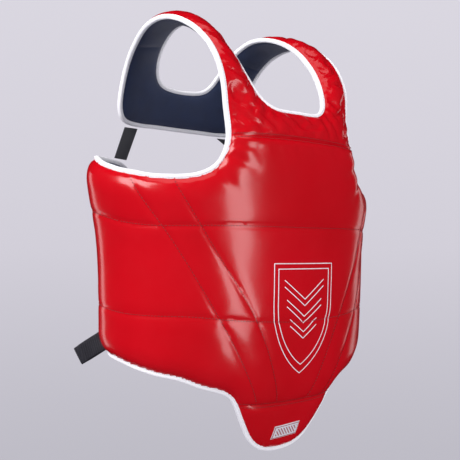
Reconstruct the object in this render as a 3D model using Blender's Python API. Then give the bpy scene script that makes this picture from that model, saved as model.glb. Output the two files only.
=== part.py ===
"""Chest protector for boxing and martial arts, built the way it is sewn.

A padded front with two side wings, a thinner chest panel with two shoulder straps, a padded back yoke,
a lower flap, binding tape on every edge, a waist strap with hook tape and a folded pull loop.

The wearer faces -Y, with +X on the wearer's left and +Z up. The origin is on the trunk's axis.
The padding lies on one surface: u runs round the trunk from the middle of the chest, and v runs up the
chest, over the shoulder and down the back. w is the height above that surface. All sizes are in metres.
"""
import math

import bmesh
import bpy
import numpy as np
from mathutils import Vector, geometry

# The trunk's shape: (y, z) of the centre line from below the flap, up the chest and down the back
CENTRE_LINE = [
    (-0.094, -0.025), (-0.098, -0.008), (-0.110, 0.030), (-0.125, 0.085), (-0.134, 0.145),
    (-0.137, 0.200), (-0.139, 0.270), (-0.143, 0.330), (-0.144, 0.370), (-0.139, 0.405),
    (-0.128, 0.443), (-0.109, 0.480), (-0.081, 0.516), (-0.043, 0.548), (0.003, 0.565),
    (0.050, 0.562), (0.092, 0.538), (0.122, 0.498), (0.137, 0.450), (0.144, 0.400),
    (0.146, 0.350), (0.147, 0.300),
]
V_START = -0.0175
HALF_WIDTHS = [
    (-0.02, 0.193), (0.10, 0.194), (0.19, 0.196), (0.28, 0.201), (0.35, 0.214), (0.42, 0.208),
    (0.50, 0.200), (0.95, 0.200),
]
CHEST_TOP = 0.385
SHOULDER_LINE = 0.600
SHOULDER_DEPTH = 0.120
# The shoulder straps slope down from the arm to the neck: v, rise at the strap's middle, slope across it
STRAP_LEAN = [
    (0.390, 0.0000, 0.00), (0.430, 0.0000, 0.02), (0.470, 0.0050, 0.30), (0.520, 0.0060, 0.45),
    (0.570, 0.0022, 0.36), (0.620, -0.0008, 0.25), (0.680, 0.0000, 0.08), (0.730, 0.0000, 0.00),
]
STRAP_MIDDLE = 0.090
LEAN_REACH = (0.030, 0.140)
BACK_DEPTH = 0.114
CHEST_SQUARENESS = 2.25
MEAN_HALF_WIDTH = 0.200
MEAN_FRONT_DEPTH = 0.137

# The cut edge of the wearer's left half, from the flap's tip round the wing, armhole and back yoke
OUTER_EDGE = [
    (0.000, -0.005), (0.024, -0.003), (0.046, 0.007), (0.064, 0.027), (0.076, 0.045),
    (0.086, 0.061), (0.097, 0.073), (0.112, 0.080), (0.135, 0.085), (0.166, 0.098),
    (0.204, 0.109), (0.241, 0.117), (0.280, 0.124), (0.330, 0.127), (0.380, 0.128),
    (0.410, 0.134), (0.426, 0.152), (0.430, 0.182), (0.430, 0.250), (0.430, 0.318),
    (0.425, 0.350), (0.405, 0.370), (0.375, 0.376), (0.330, 0.375), (0.295, 0.371),
    (0.264, 0.360), (0.235, 0.3515), (0.201, 0.3445), (0.161, 0.3405), (0.137, 0.3440),
    (0.120, 0.354), (0.110, 0.371), (0.106, 0.395), (0.107, 0.425), (0.110, 0.470),
    (0.114, 0.520), (0.120, 0.565), (0.127, 0.610), (0.130, 0.665), (0.128, 0.720),
    (0.125, 0.770), (0.124, 0.815), (0.122, 0.843), (0.112, 0.861), (0.092, 0.867),
    (0.045, 0.868), (0.000, 0.868),
]
# The cut edge of the left half of the neck hole, from its front to its back
NECK_EDGE = [
    (0.000, 0.434), (0.020, 0.434), (0.038, 0.437), (0.050, 0.447), (0.057, 0.465),
    (0.064, 0.505), (0.068, 0.560), (0.069, 0.620), (0.067, 0.680), (0.063, 0.735),
    (0.056, 0.775), (0.042, 0.798), (0.020, 0.805), (0.000, 0.806),
]

# Seams and folds, as a distance up the pattern or round it
FLAP_SEAM = 0.064
CHEST_SEAM = 0.392
SHOULDER_SEAM = 0.520
YOKE_SEAM = 0.735
YOKE_CORNER = 0.080

# Padding
FRONT_HALF = 0.011
FLAP_HALF = 0.0095
CHEST_HALF = 0.0085
YOKE_HALF = 0.0075
RIM_HALF = 0.0028
RIM_FLAT = 0.009
RIM_RISE = 0.038
SEAM_PINCH = 0.35
SEAM_REACH = 0.018
SKIN = 0.0012
GAP = 0.0003
FOLD_GAP = 0.0006
RIM_GAP = 0.0005

# Binding tape, folded over the cut edge
TAPE = 0.001
TAPE_WIDTH = 0.0065

# Waist strap, hook and loop tape, and the pull loop at its end
STRAP_LOW = 0.132
STRAP_HIGH = 0.170
STRAP_THICK = 0.0018
HOOK_THICK = 0.0011
HOOK_INSET = 0.003
PATCH_BASE = 0.0008
PATCH_TOP = 0.0014
HOOK_START = 0.380
HOOK_END = 0.422
ANCHOR_START = 0.392
STRAP_FOLD = 0.426
LOOP_LENGTH = 0.053
LOOP_WIDTH = 0.025
LOOP_BULGE = 0.010
LOOP_WEBBING = 0.0016
LOOP_DROOP = math.radians(31)
LOOP_STANDOFF = 0.0130
LOOP_HEIGHT = 0.139

# Elastic bands between the yoke and the wings
ELASTIC_WIDTH = 0.028
ELASTIC_THICK = 0.0018
ELASTIC_YOKE = (0.090, 0.8715)
ELASTIC_WING = (0.394, 0.3790)

# Woven label on the flap
LABEL_HALF_WIDTH = 0.023
LABEL_LOW = 0.016
LABEL_HIGH = 0.034

MESH_STEP = 0.028
STATION_STEP = 0.018
STATION_TURN = 0.55

COLORS = {
    "red_leather": ((0.60, 0.010, 0.025), 0.28),
    "foam": ((0.85, 0.82, 0.76), 0.85),
    "navy_lining": ((0.028, 0.045, 0.11), 0.80),
    "white_tape": ((0.86, 0.86, 0.88), 0.60),
    "black_webbing": ((0.020, 0.019, 0.026), 0.75),
    "black_hook": ((0.012, 0.012, 0.014), 0.90),
    "woven_label": ((0.80, 0.79, 0.80), 0.65),
}


# ---- Curves and the padding's surface ----

def cubic(knots, values, count=3000):
    """A natural cubic spline through values at knots, as a dense table."""
    knots = np.asarray(knots, float)
    values = np.asarray(values, float)
    size = len(knots)
    steps = np.diff(knots)
    matrix = np.eye(size)
    right = np.zeros(values.shape)
    for i in range(1, size - 1):
        matrix[i, i - 1:i + 2] = steps[i - 1], 2 * (steps[i - 1] + steps[i]), steps[i]
        right[i] = 6 * ((values[i + 1] - values[i]) / steps[i] - (values[i] - values[i - 1]) / steps[i - 1])
    bend = np.linalg.solve(matrix, right)
    at = np.linspace(knots[0], knots[-1], count)
    left = np.clip(np.searchsorted(knots, at) - 1, 0, size - 2)
    width = steps[left]
    up = at - knots[left]
    down = knots[left + 1] - at
    if values.ndim > 1:
        width, up, down = width[:, None], up[:, None], down[:, None]
    curve = (bend[left] * down ** 3 + bend[left + 1] * up ** 3) / (6 * width)
    curve += (values[left] / width - bend[left] * width / 6) * down
    curve += (values[left + 1] / width - bend[left + 1] * width / 6) * up
    return at, curve


def along(points):
    """Distances travelled along a row of points."""
    return np.concatenate([[0.0], np.cumsum(np.linalg.norm(np.diff(points, axis=0), axis=1))])


def smooth_line(points):
    """A smooth curve through points, as (distance table, point table)."""
    points = np.array(points, float)
    _, curve = cubic(along(points), points)
    return along(curve), curve


def ease(x, low, high):
    """0 below low, 1 above high, and smooth between."""
    t = np.clip((x - low) / (high - low), 0, 1)
    return t * t * (3 - 2 * t)


LINE_V, LINE = smooth_line(CENTRE_LINE)
LINE_V = LINE_V + V_START
SLOPE = np.gradient(LINE, LINE_V, axis=0)
WIDTH_V, WIDTH = cubic(*np.array(HALF_WIDTHS).T)
LEAN_V, LEAN = cubic(np.array(STRAP_LEAN)[:, 0], np.array(STRAP_LEAN)[:, 1:])


def round_trunk(angle):
    """A unit outline of the trunk, squarer at the chest than at the back; angle 0 is the front."""
    across, ahead = np.sin(angle), np.cos(angle)
    power = np.where(ahead > 0, CHEST_SQUARENESS, 2.0)
    reach = (np.abs(across) ** power + np.abs(ahead) ** power) ** (-1 / power)
    return across * reach, ahead * reach


ANGLES = np.linspace(0, math.pi, 6001)
UNIT_X, UNIT_Y = round_trunk(ANGLES)
GIRTH = along(np.stack([
    MEAN_HALF_WIDTH * UNIT_X,
    np.where(UNIT_Y > 0, MEAN_FRONT_DEPTH, BACK_DEPTH) * UNIT_Y,
], axis=-1))
HALF_GIRTH = float(GIRTH[-1])
SIDE_FOLD = float(np.interp(math.pi / 2, ANGLES, GIRTH))


def surface(u, v):
    """The point at u round the trunk and v up it. Past the middle of the back, u carries on round."""
    u = np.asarray(u, float)
    u = np.where(u > HALF_GIRTH, u - 2 * HALF_GIRTH, u)
    across, ahead = round_trunk(np.interp(np.abs(u), GIRTH, ANGLES))
    line_y = np.interp(v, LINE_V, LINE[:, 0])
    line_z = np.interp(v, LINE_V, LINE[:, 1])
    front = -np.interp(np.minimum(v, CHEST_TOP), LINE_V, LINE[:, 0])
    chest_depth = -np.interp(CHEST_TOP, LINE_V, LINE[:, 0])
    front = front - (chest_depth - SHOULDER_DEPTH) * ease(v, CHEST_TOP, SHOULDER_LINE)
    drop = front - np.where(ahead > 0, front, BACK_DEPTH) * ahead
    across_strap = np.clip(np.abs(u), *LEAN_REACH) - STRAP_MIDDLE
    drop = drop - np.interp(v, LEAN_V, LEAN[:, 0]) - np.interp(v, LEAN_V, LEAN[:, 1]) * across_strap
    level = ease(np.abs(u), 0.12, 0.20)
    out_y = -np.interp(v, LINE_V, SLOPE[:, 1]) * (1 - level) - level
    out_z = np.interp(v, LINE_V, SLOPE[:, 0]) * (1 - level)
    size = np.hypot(out_y, out_z)
    x = np.sign(u) * np.interp(v, WIDTH_V, WIDTH) * across
    return np.stack([x, line_y - drop * out_y / size, line_z - drop * out_z / size], axis=-1)


def outward(u, v, reach=4e-4):
    """The surface's unit normal, away from the wearer."""
    u = np.asarray(u, float)
    v = np.asarray(v, float)
    round_trunk_way = surface(u + reach, v) - surface(u - reach, v)
    up_way = surface(u, v + reach) - surface(u, v - reach)
    normal = np.cross(round_trunk_way, up_way)
    return normal / np.linalg.norm(normal, axis=-1, keepdims=True)


def place(u, v, w):
    """The point at pattern place u, v and height w."""
    u, v, w = np.broadcast_arrays(np.asarray(u, float), np.asarray(v, float), np.asarray(w, float))
    return surface(u, v) + outward(u, v) * w[..., None]


# ---- Edges, cut at the seams ----

class Edge:
    """One smooth cut edge of the left half, with stations for the mesh between its seams."""

    def __init__(self, points, inside_is_left, cuts):
        self.length, self.curve = smooth_line(points)
        self.tangent = np.gradient(self.curve, self.length, axis=0)
        self.tangent /= np.linalg.norm(self.tangent, axis=1, keepdims=True)
        side = 1 if inside_is_left else -1
        self.inward = np.stack([-self.tangent[:, 1], self.tangent[:, 0]], axis=-1) * side
        self.stops = [0]
        self.turns = [(1, 0.0)]
        for axis, value in cuts:
            start = self.stops[-1] + 5
            over = self.curve[start:, axis] > value
            self.stops.append(start + int(np.argmax(over != over[0])))
            self.turns.append((axis, value))
        self.stops.append(len(self.curve) - 1)

    def between(self, first, last):
        """Stations from one seam to another: rows of u, v, inward u, inward v."""
        rows = []
        for part in range(first, last):
            low, high = self.stops[part], self.stops[part + 1]
            heading = np.arctan2(self.tangent[low:high + 1, 1], self.tangent[low:high + 1, 0])
            bend = np.abs(np.diff(np.unwrap(heading)))
            cost = np.cumsum(np.diff(self.length[low:high + 1]) / STATION_STEP + bend / STATION_TURN)
            cost = np.concatenate([[0.0], cost])
            count = max(1, math.ceil(cost[-1]))
            picks = low + np.searchsorted(cost, np.linspace(0, cost[-1], count + 1) - 1e-9)
            for number, pick in enumerate(picks):
                if rows and number == 0:
                    continue
                stop = part if number == 0 else part + 1 if number == count else None
                rows.append(self.station(pick, stop))
        return np.array(rows)

    def station(self, pick, stop):
        point = self.curve[pick].copy()
        inward = self.inward[pick].copy()
        if stop is not None and 0 < stop < len(self.stops) - 1:
            axis, value = self.turns[stop]
            point[axis] = value
            straight = np.zeros(2)
            straight[1 - axis] = math.copysign(1.0, inward[1 - axis])
            inward = straight / np.dot(straight, inward)
        if stop in (0, len(self.stops) - 1):
            point[0] = 0.0
            inward = np.array([0.0, math.copysign(1.0, inward[1])])
        return [*point, *inward]


OUTER = Edge(OUTER_EDGE, True, [
    (1, FLAP_SEAM), (0, SIDE_FOLD), (0, SIDE_FOLD), (1, CHEST_SEAM), (1, SHOULDER_SEAM), (1, YOKE_SEAM),
    (0, YOKE_CORNER),
])
NECK = Edge(NECK_EDGE, False, [(1, SHOULDER_SEAM), (1, YOKE_SEAM)])
OUTLINE = np.concatenate([OUTER.curve[::8], NECK.curve[::8]])


def mirrored(rows):
    """The same stations on the wearer's right, run the other way."""
    return rows[::-1] * np.array([-1, 1, -1, 1])


def half_thickness(u, v):
    """Half of the padding's thickness: thin at the bound rim, pinched at the seams, full between."""
    u, v = np.broadcast_arrays(np.asarray(u, float), np.asarray(v, float))
    gaps = np.hypot(np.abs(u)[..., None] - OUTLINE[:, 0], v[..., None] - OUTLINE[:, 1]).min(axis=-1)
    full = FLAP_HALF + (FRONT_HALF - FLAP_HALF) * ease(v, FLAP_SEAM, FLAP_SEAM + 0.03)
    full = full - (FRONT_HALF - CHEST_HALF) * ease(v, CHEST_SEAM - 0.004, CHEST_SEAM + 0.004)
    full = full - (CHEST_HALF - YOKE_HALF) * ease(v, YOKE_SEAM - 0.03, YOKE_SEAM + 0.03)
    for seam in (FLAP_SEAM, CHEST_SEAM, YOKE_SEAM):
        full = full * (1 - SEAM_PINCH * (1 - ease(np.abs(v - seam), 0, SEAM_REACH)))
    return RIM_HALF + (full - RIM_HALF) * ease(gaps, RIM_FLAT, RIM_RISE)


# ---- Panels ----

def inside(points, loop):
    """Which points lie inside a closed loop."""
    result = np.zeros(len(points), bool)
    for (x1, y1), (x2, y2) in zip(loop, np.roll(loop, -1, axis=0)):
        if y1 == y2:
            continue
        crosses = (points[:, 1] > y1) != (points[:, 1] > y2)
        at = x1 + (points[:, 1] - y1) * (x2 - x1) / (y2 - y1)
        result ^= crosses & (points[:, 0] < at)
    return result


def triangulate(stretches):
    """Triangles for a panel bounded by edge stretches, in order round it, and by seams between them."""
    loop = []
    inner = []
    for rows, following in zip(stretches, stretches[1:] + stretches[:1]):
        edge = rows[:, :2]
        inset = edge + rows[:, 2:] * RIM_FLAT
        loop.extend(edge)
        inner.extend(inset)
        if np.linalg.norm(edge[-1] - following[0, :2]) < 1e-6:
            continue
        start, end = inset[-1], following[0, :2] + following[0, 2:] * RIM_FLAT
        count = max(2, 2 * round(np.linalg.norm(end - start) / MESH_STEP / 2))
        seam = [start + (end - start) * i / count for i in range(count + 1)]
        loop.extend(seam)
        inner.extend(seam[1:-1])
    loop = unique(loop)
    inner = unique(inner)
    low, high = np.min(loop, axis=0), np.max(loop, axis=0)
    columns = round(high[0] / MESH_STEP + 1)
    grid = [
        (column * MESH_STEP, low[1] + row * MESH_STEP)
        for row in range(1, round((high[1] - low[1]) / MESH_STEP) + 1)
        for column in range(-columns, columns + 1)
    ]
    grid = np.array(grid)
    grid = grid[inside(grid, np.array(inner))]
    near = np.linalg.norm(grid[:, None] - np.array(inner)[None], axis=-1).min(axis=1)
    grid = grid[near > 0.55 * MESH_STEP]
    points = [Vector(p) for p in (*loop, *inner, *grid)]
    ring = [(i, (i + 1) % len(loop)) for i in range(len(loop))]
    ring += [(len(loop) + i, len(loop) + (i + 1) % len(inner)) for i in range(len(inner))]
    points, _, triangles, *_ = geometry.delaunay_2d_cdt(points, ring, [], 0, 1e-6)
    points = np.array([tuple(p) for p in points])
    triangles = np.array(triangles)
    keep = inside(points[triangles].mean(axis=1), np.array(loop))
    return points, triangles[keep]


def unique(points):
    """A loop without the points that repeat the one before."""
    kept = [points[0]]
    for point in points[1:]:
        if np.linalg.norm(point - kept[-1]) > 1e-6:
            kept.append(point)
    if np.linalg.norm(kept[0] - kept[-1]) < 1e-6:
        kept.pop()
    return kept


def joined(*panels):
    """Several panels as one, welded where they share points."""
    points = []
    triangles = []
    known = {}
    for places, faces in panels:
        numbers = []
        for point in places:
            key = (round(point[0] * 1e5), round(point[1] * 1e5))
            if key not in known:
                known[key] = len(points)
                points.append(point)
            numbers.append(known[key])
        triangles.extend([numbers[i] for i in face] for face in faces)
    return np.array(points), np.array(triangles)


def flipped(panel):
    """A panel's mirror image, for the wearer's other side."""
    points, triangles = panel
    return points * np.array([-1, 1]), triangles[:, ::-1]


# ---- Objects ----

def clear_scene():
    for item in list(bpy.data.objects):
        bpy.data.objects.remove(item, do_unlink=True)


def add_object(name, finish, points, faces):
    mesh = bpy.data.meshes.new(name)
    mesh.from_pydata([tuple(map(float, p)) for p in points], [], [tuple(map(int, f)) for f in faces])
    work = bmesh.new()
    work.from_mesh(mesh)
    bmesh.ops.recalc_face_normals(work, faces=work.faces)
    work.to_mesh(mesh)
    work.free()
    mesh.shade_smooth()
    mesh.set_sharp_from_angle(angle=math.radians(40))
    item = bpy.data.objects.new(name, mesh)
    bpy.context.scene.collection.objects.link(item)
    color, roughness = COLORS[finish]
    material = bpy.data.materials.new(name)
    material.use_nodes = True
    shader = material.node_tree.nodes["Principled BSDF"]
    shader.inputs["Base Color"].default_value = (*color, 1)
    shader.inputs["Roughness"].default_value = roughness
    shader.inputs["Metallic"].default_value = 0.0
    mesh.materials.append(material)
    return item


def slab(name, finish, panel, low, high, seams=()):
    """A closed solid over a panel, from height low to height high. Each seam is (axis, value, shift)."""
    points, triangles = panel
    points = points.copy()
    for axis, value, shift in seams:
        points[np.abs(points[:, axis] - value) < 1e-5, axis] += shift
    count = len(points)
    half = half_thickness(*points.T)
    middle = -FRONT_HALF
    top = place(*points.T, middle + high(half))
    bottom = place(*points.T, middle + low(half))
    faces = [tuple(t) for t in triangles] + [(a + count, c + count, b + count) for a, b, c in triangles]
    sides = {}
    for a, b, c in triangles:
        for edge in ((a, b), (b, c), (c, a)):
            sides[edge] = True
    for a, b in sides:
        if (b, a) not in sides:
            faces.append((b, a, a + count))
            faces.append((b, a + count, b + count))
    return add_object(name, finish, [*top, *bottom], faces)


def three_layers(prefix, panel, seams=(), foam=True):
    """The red cover, the foam and the lining of one panel."""
    slab(prefix + "_cover", "red_leather", panel, lambda h: h - SKIN, lambda h: h, seams)
    if foam:
        slab(prefix + "_foam", "foam", panel, lambda h: SKIN + GAP - h, lambda h: h - SKIN - GAP, seams)
    slab(prefix + "_lining", "navy_lining", panel, lambda h: -h, lambda h: SKIN - h, seams)


def sweep(name, finish, sections, closed=False):
    """A solid through a row of matching cross-sections."""
    sections = np.asarray(sections)
    count, corners = sections.shape[:2]
    faces = []
    for i in range(count if closed else count - 1):
        following = (i + 1) % count
        for j in range(corners):
            k = (j + 1) % corners
            a, b = i * corners + j, i * corners + k
            c, d = following * corners + k, following * corners + j
            faces.append((a, b, c))
            faces.append((a, c, d))
    if not closed:
        half = corners // 2
        for start in (0, (count - 1) * corners):
            quads = [(j, j + 1, corners - 2 - j, corners - 1 - j) for j in range(half - 1)]
            for quad in quads:
                faces.append(tuple(start + j for j in quad))
    return add_object(name, finish, sections.reshape(-1, 3), faces)


def binding(name, rows, closed=False, shifts=()):
    """Tape folded over a cut edge: a U-shaped section carried along the edge's stations."""
    rows = rows.copy()
    for axis, value, shift in shifts:
        rows[np.abs(rows[:, axis] - value) < 1e-5, axis] += shift
    inner = RIM_HALF + RIM_GAP
    outer = inner + TAPE
    section = [
        (TAPE_WIDTH, outer), (-GAP - TAPE, outer), (-GAP - TAPE, -outer), (TAPE_WIDTH, -outer),
        (TAPE_WIDTH, -inner), (-GAP, -inner), (-GAP, inner), (TAPE_WIDTH, inner),
    ]
    sections = []
    for reach, height in section:
        where = rows[:, :2] + rows[:, 2:] * reach
        sections.append(place(where[:, 0], where[:, 1], height - FRONT_HALF))
    return sweep(name, "white_tape", np.swapaxes(sections, 0, 1), closed)


def band(name, finish, stations, low_v, high_v, low_w, high_w):
    """A strip round the trunk: a rectangular section at each place in stations."""
    corners = [(low_v, low_w), (high_v, low_w), (high_v, high_w), (low_v, high_w)]
    sections = [place(stations, np.full(len(stations), v), w) for v, w in corners]
    return sweep(name, finish, np.swapaxes(sections, 0, 1))


# ---- The pieces ----

def make_panels():
    flap_edge = OUTER.between(0, 1)
    hem_edge = OUTER.between(1, 2)
    wing_edge = OUTER.between(2, 3)
    armhole = OUTER.between(3, 4)
    chest_side = OUTER.between(4, 5)
    strap_side = OUTER.between(5, 6)
    yoke_side = OUTER.between(6, 8)
    neck_front = NECK.between(0, 1)
    neck_side = NECK.between(1, 2)
    neck_back = NECK.between(2, 3)
    join = np.concatenate

    front = triangulate([hem_edge, armhole, mirrored(armhole), mirrored(hem_edge)])
    front_seams = [(0, SIDE_FOLD, -FOLD_GAP / 2), (0, -SIDE_FOLD, FOLD_GAP / 2)]
    front_seams += [(1, FLAP_SEAM, FOLD_GAP / 2), (1, CHEST_SEAM, -GAP / 2)]
    three_layers("front", front, front_seams)

    flap = triangulate([join([mirrored(flap_edge), flap_edge[1:]])])
    three_layers("flap", flap, [(1, FLAP_SEAM, -FOLD_GAP / 2)])

    wing = triangulate([wing_edge])
    fold = [(0, SIDE_FOLD, FOLD_GAP / 2), (0, -SIDE_FOLD, -FOLD_GAP / 2)]
    three_layers("left_wing", wing, fold)
    three_layers("right_wing", flipped(wing), fold)

    neck_line = join([mirrored(neck_front), neck_front[1:]])[::-1]
    chest = triangulate([chest_side, neck_line, mirrored(chest_side)])
    shoulder = triangulate([strap_side, neck_side[::-1]])
    seams = [(1, CHEST_SEAM, GAP / 2), (1, YOKE_SEAM, -GAP / 2)]
    three_layers("chest", joined(chest, shoulder, flipped(shoulder)), seams, foam=False)
    core = {"low": lambda h: SKIN + GAP - h, "high": lambda h: h - SKIN - GAP}
    ends = [(1, SHOULDER_SEAM, GAP / 2), (1, YOKE_SEAM, -GAP / 2)]
    slab("chest_foam", "foam", chest, seams=[(1, CHEST_SEAM, GAP / 2), (1, SHOULDER_SEAM, -GAP / 2)], **core)
    slab("left_shoulder_foam", "foam", shoulder, seams=ends, **core)
    slab("right_shoulder_foam", "foam", flipped(shoulder), seams=ends, **core)

    yoke_edge = join([yoke_side, mirrored(yoke_side)[1:]])
    yoke = triangulate([yoke_edge, join([mirrored(neck_back)[::-1], neck_back[::-1][1:]])])
    three_layers("yoke", yoke, [(1, YOKE_SEAM, GAP / 2)])


def make_bindings():
    join = np.concatenate
    neck = NECK.between(0, 3)
    binding("neck_binding", join([neck, mirrored(neck)[1:-1]]), closed=True)

    flap_edge = OUTER.between(0, 1)
    flap_edge = join([mirrored(flap_edge), flap_edge[1:]])
    binding("flap_binding", flap_edge, shifts=[(1, FLAP_SEAM, -FOLD_GAP / 2)])

    hem = OUTER.between(1, 2)
    hem_shifts = [(1, FLAP_SEAM, FOLD_GAP / 2), (0, SIDE_FOLD, -FOLD_GAP / 2), (0, -SIDE_FOLD, FOLD_GAP / 2)]
    binding("left_hem_binding", hem, shifts=hem_shifts)
    binding("right_hem_binding", mirrored(hem), shifts=hem_shifts)

    wing = OUTER.between(2, 3)
    wing_shifts = [(0, SIDE_FOLD, FOLD_GAP / 2), (0, -SIDE_FOLD, -FOLD_GAP / 2)]
    binding("left_wing_binding", wing, shifts=wing_shifts)
    binding("right_wing_binding", mirrored(wing), shifts=wing_shifts)

    armhole = OUTER.between(3, 7)
    arm_shifts = [(0, SIDE_FOLD, -FOLD_GAP / 2), (0, -SIDE_FOLD, FOLD_GAP / 2)]
    arm_shifts += [(0, YOKE_CORNER, GAP / 2), (0, -YOKE_CORNER, -GAP / 2)]
    binding("left_armhole_binding", armhole, shifts=arm_shifts)
    binding("right_armhole_binding", mirrored(armhole), shifts=arm_shifts)

    bottom = OUTER.between(7, 8)
    bottom = join([bottom, mirrored(bottom)[1:]])
    yoke_shifts = [(0, YOKE_CORNER, -GAP / 2), (0, -YOKE_CORNER, GAP / 2)]
    binding("yoke_binding", bottom, shifts=yoke_shifts)


def make_strap():
    hook_base = PATCH_TOP + GAP
    strap_base = hook_base + HOOK_THICK + GAP
    strap_top = strap_base + STRAP_THICK
    landing = 2 * HALF_GIRTH - np.linspace(HOOK_END, HOOK_START, 5)
    band("loop_patch", "black_hook", landing, STRAP_LOW, STRAP_HIGH, PATCH_BASE, PATCH_TOP)
    low, high = STRAP_LOW + HOOK_INSET, STRAP_HIGH - HOOK_INSET
    band("hook_patch", "black_hook", landing, low, high, hook_base, strap_base - GAP)
    crossing = np.linspace(STRAP_FOLD, landing[0], 15)
    stations = np.concatenate([crossing, landing[1:]])
    band("waist_strap", "black_webbing", stations, STRAP_LOW, STRAP_HIGH, strap_base, strap_top)
    anchor = np.linspace(ANCHOR_START, STRAP_FOLD - FOLD_GAP, 4)
    band("strap_anchor", "black_webbing", anchor, STRAP_LOW, STRAP_HIGH, PATCH_BASE, strap_top)


def loop_frame():
    """The pull loop's root and directions: along it, across its width, and through its layers."""
    root = place(-HOOK_START, LOOP_HEIGHT, LOOP_STANDOFF)
    away = outward(-HOOK_START, LOOP_HEIGHT)
    away = np.array([away[0], away[1], 0.0])
    away = away / np.linalg.norm(away)
    up = np.array([0.0, 0.0, 1.0])
    length = away * math.cos(LOOP_DROOP) - up * math.sin(LOOP_DROOP)
    width = away * math.sin(LOOP_DROOP) + up * math.cos(LOOP_DROOP)
    return root, length, width, np.cross(length, width)


def make_pull_loop():
    """Webbing folded back on itself: a teardrop from the side, with a pressed crease at its far end."""
    root, length, width, through = loop_frame()
    steps = 7
    outer = []
    inner = []
    for i in range(steps + 1):
        t = i / steps
        bulge = LOOP_BULGE / 2 * (0.42 + 0.58 * math.sin(math.pi * min(1.0, 0.12 + 0.80 * t)) ** 0.8)
        bulge *= 1 - 0.45 * ease(t, 0.8, 1.0)
        outer.append((t * LOOP_LENGTH, bulge))
        inside_t = LOOP_WEBBING + t * (LOOP_LENGTH - 2 * LOOP_WEBBING)
        inner.append((inside_t, bulge - LOOP_WEBBING))
    rim = outer + [(x, -y) for x, y in outer[::-1]]
    hole = inner + [(x, -y) for x, y in inner[::-1]]
    sections = []
    for (x1, y1), (x2, y2) in zip(rim, hole):
        corners = [(x1, y1, -0.5), (x1, y1, 0.5), (x2, y2, 0.5), (x2, y2, -0.5)]
        sections.append([root + length * x + through * y + width * (LOOP_WIDTH * z) for x, y, z in corners])
    sweep("pull_loop", "black_webbing", sections, closed=True)


def make_elastics():
    """A flat elastic from the yoke's lower edge to the wing's upper edge, on each side."""
    for name, side in (("left_elastic", 1), ("right_elastic", -1)):
        ends = []
        for (u, v), turn in ((ELASTIC_YOKE, side), (ELASTIC_WING, -side)):
            reach = ELASTIC_WIDTH / 2
            first = place(side * u - turn * reach, v, -FRONT_HALF)
            last = place(side * u + turn * reach, v, -FRONT_HALF)
            ends.append((first, last, outward(side * u, v) * ELASTIC_THICK / 2))
        sections = []
        for i in range(4):
            first, last, out = [a + (b - a) * i / 3 for a, b in zip(*ends)]
            sections.append([first - out, last - out, last + out, first + out])
        sweep(name, "black_webbing", sections)


def make_label():
    columns = np.linspace(-LABEL_HALF_WIDTH, LABEL_HALF_WIDTH, 5)
    rows = np.array([LABEL_LOW, (LABEL_LOW + LABEL_HIGH) / 2, LABEL_HIGH])
    points = np.array([(u, v) for v in rows for u in columns])
    triangles = []
    for i in range(2):
        for j in range(4):
            a = i * 5 + j
            triangles += [(a, a + 1, a + 6), (a, a + 6, a + 5)]
    clear = 0.0012
    outline = (points, np.array(triangles))
    slab("flap_label", "woven_label", outline, lambda h: h + clear, lambda h: h + 2 * clear)


clear_scene()
make_panels()
make_bindings()
make_strap()
make_pull_loop()
make_elastics()
make_label()
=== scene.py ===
"""Looks of the padded chest protector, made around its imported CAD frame.

The pattern is the same as in the CAD source: u runs round the trunk from the middle of the chest, v runs
up the chest, over the shoulder and down the back, and w is the height above that surface. All sizes are in
metres.
"""
import math

import bmesh
import bpy
import numpy as np
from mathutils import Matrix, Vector, geometry, kdtree, noise
from mathutils.bvhtree import BVHTree


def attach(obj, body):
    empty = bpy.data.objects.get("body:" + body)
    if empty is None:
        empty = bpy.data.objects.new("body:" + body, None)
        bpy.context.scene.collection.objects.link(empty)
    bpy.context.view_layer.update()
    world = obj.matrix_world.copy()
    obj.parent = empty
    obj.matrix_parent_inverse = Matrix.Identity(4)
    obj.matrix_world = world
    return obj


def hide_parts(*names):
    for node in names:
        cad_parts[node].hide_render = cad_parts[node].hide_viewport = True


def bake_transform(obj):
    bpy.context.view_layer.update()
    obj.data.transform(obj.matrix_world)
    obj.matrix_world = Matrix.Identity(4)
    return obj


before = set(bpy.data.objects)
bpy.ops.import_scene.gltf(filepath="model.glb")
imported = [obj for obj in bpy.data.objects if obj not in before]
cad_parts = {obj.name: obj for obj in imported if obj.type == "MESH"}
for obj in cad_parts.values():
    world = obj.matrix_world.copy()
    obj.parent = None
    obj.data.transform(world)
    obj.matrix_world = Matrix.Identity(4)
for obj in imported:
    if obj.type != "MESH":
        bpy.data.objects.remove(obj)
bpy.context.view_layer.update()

# ---- Camera ----

VIEW_TURN = math.radians(40)
VIEW_DISTANCE = 1.06
EYE_HEIGHT = 0.239
LENS = 60.65
SHIFT_X = -0.0054
SHIFT_Y = 0.0522

# ---- The trunk and the pattern, as in the CAD source ----

CENTRE_LINE = [
    (-0.094, -0.025), (-0.098, -0.008), (-0.110, 0.030), (-0.125, 0.085), (-0.134, 0.145),
    (-0.137, 0.200), (-0.139, 0.270), (-0.143, 0.330), (-0.144, 0.370), (-0.139, 0.405),
    (-0.128, 0.443), (-0.109, 0.480), (-0.081, 0.516), (-0.043, 0.548), (0.003, 0.565),
    (0.050, 0.562), (0.092, 0.538), (0.122, 0.498), (0.137, 0.450), (0.144, 0.400),
    (0.146, 0.350), (0.147, 0.300),
]
V_START = -0.0175
HALF_WIDTHS = [
    (-0.02, 0.193), (0.10, 0.194), (0.19, 0.196), (0.28, 0.201), (0.35, 0.214), (0.42, 0.208),
    (0.50, 0.200), (0.95, 0.200),
]
CHEST_TOP = 0.385
SHOULDER_LINE = 0.600
SHOULDER_DEPTH = 0.120
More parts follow.
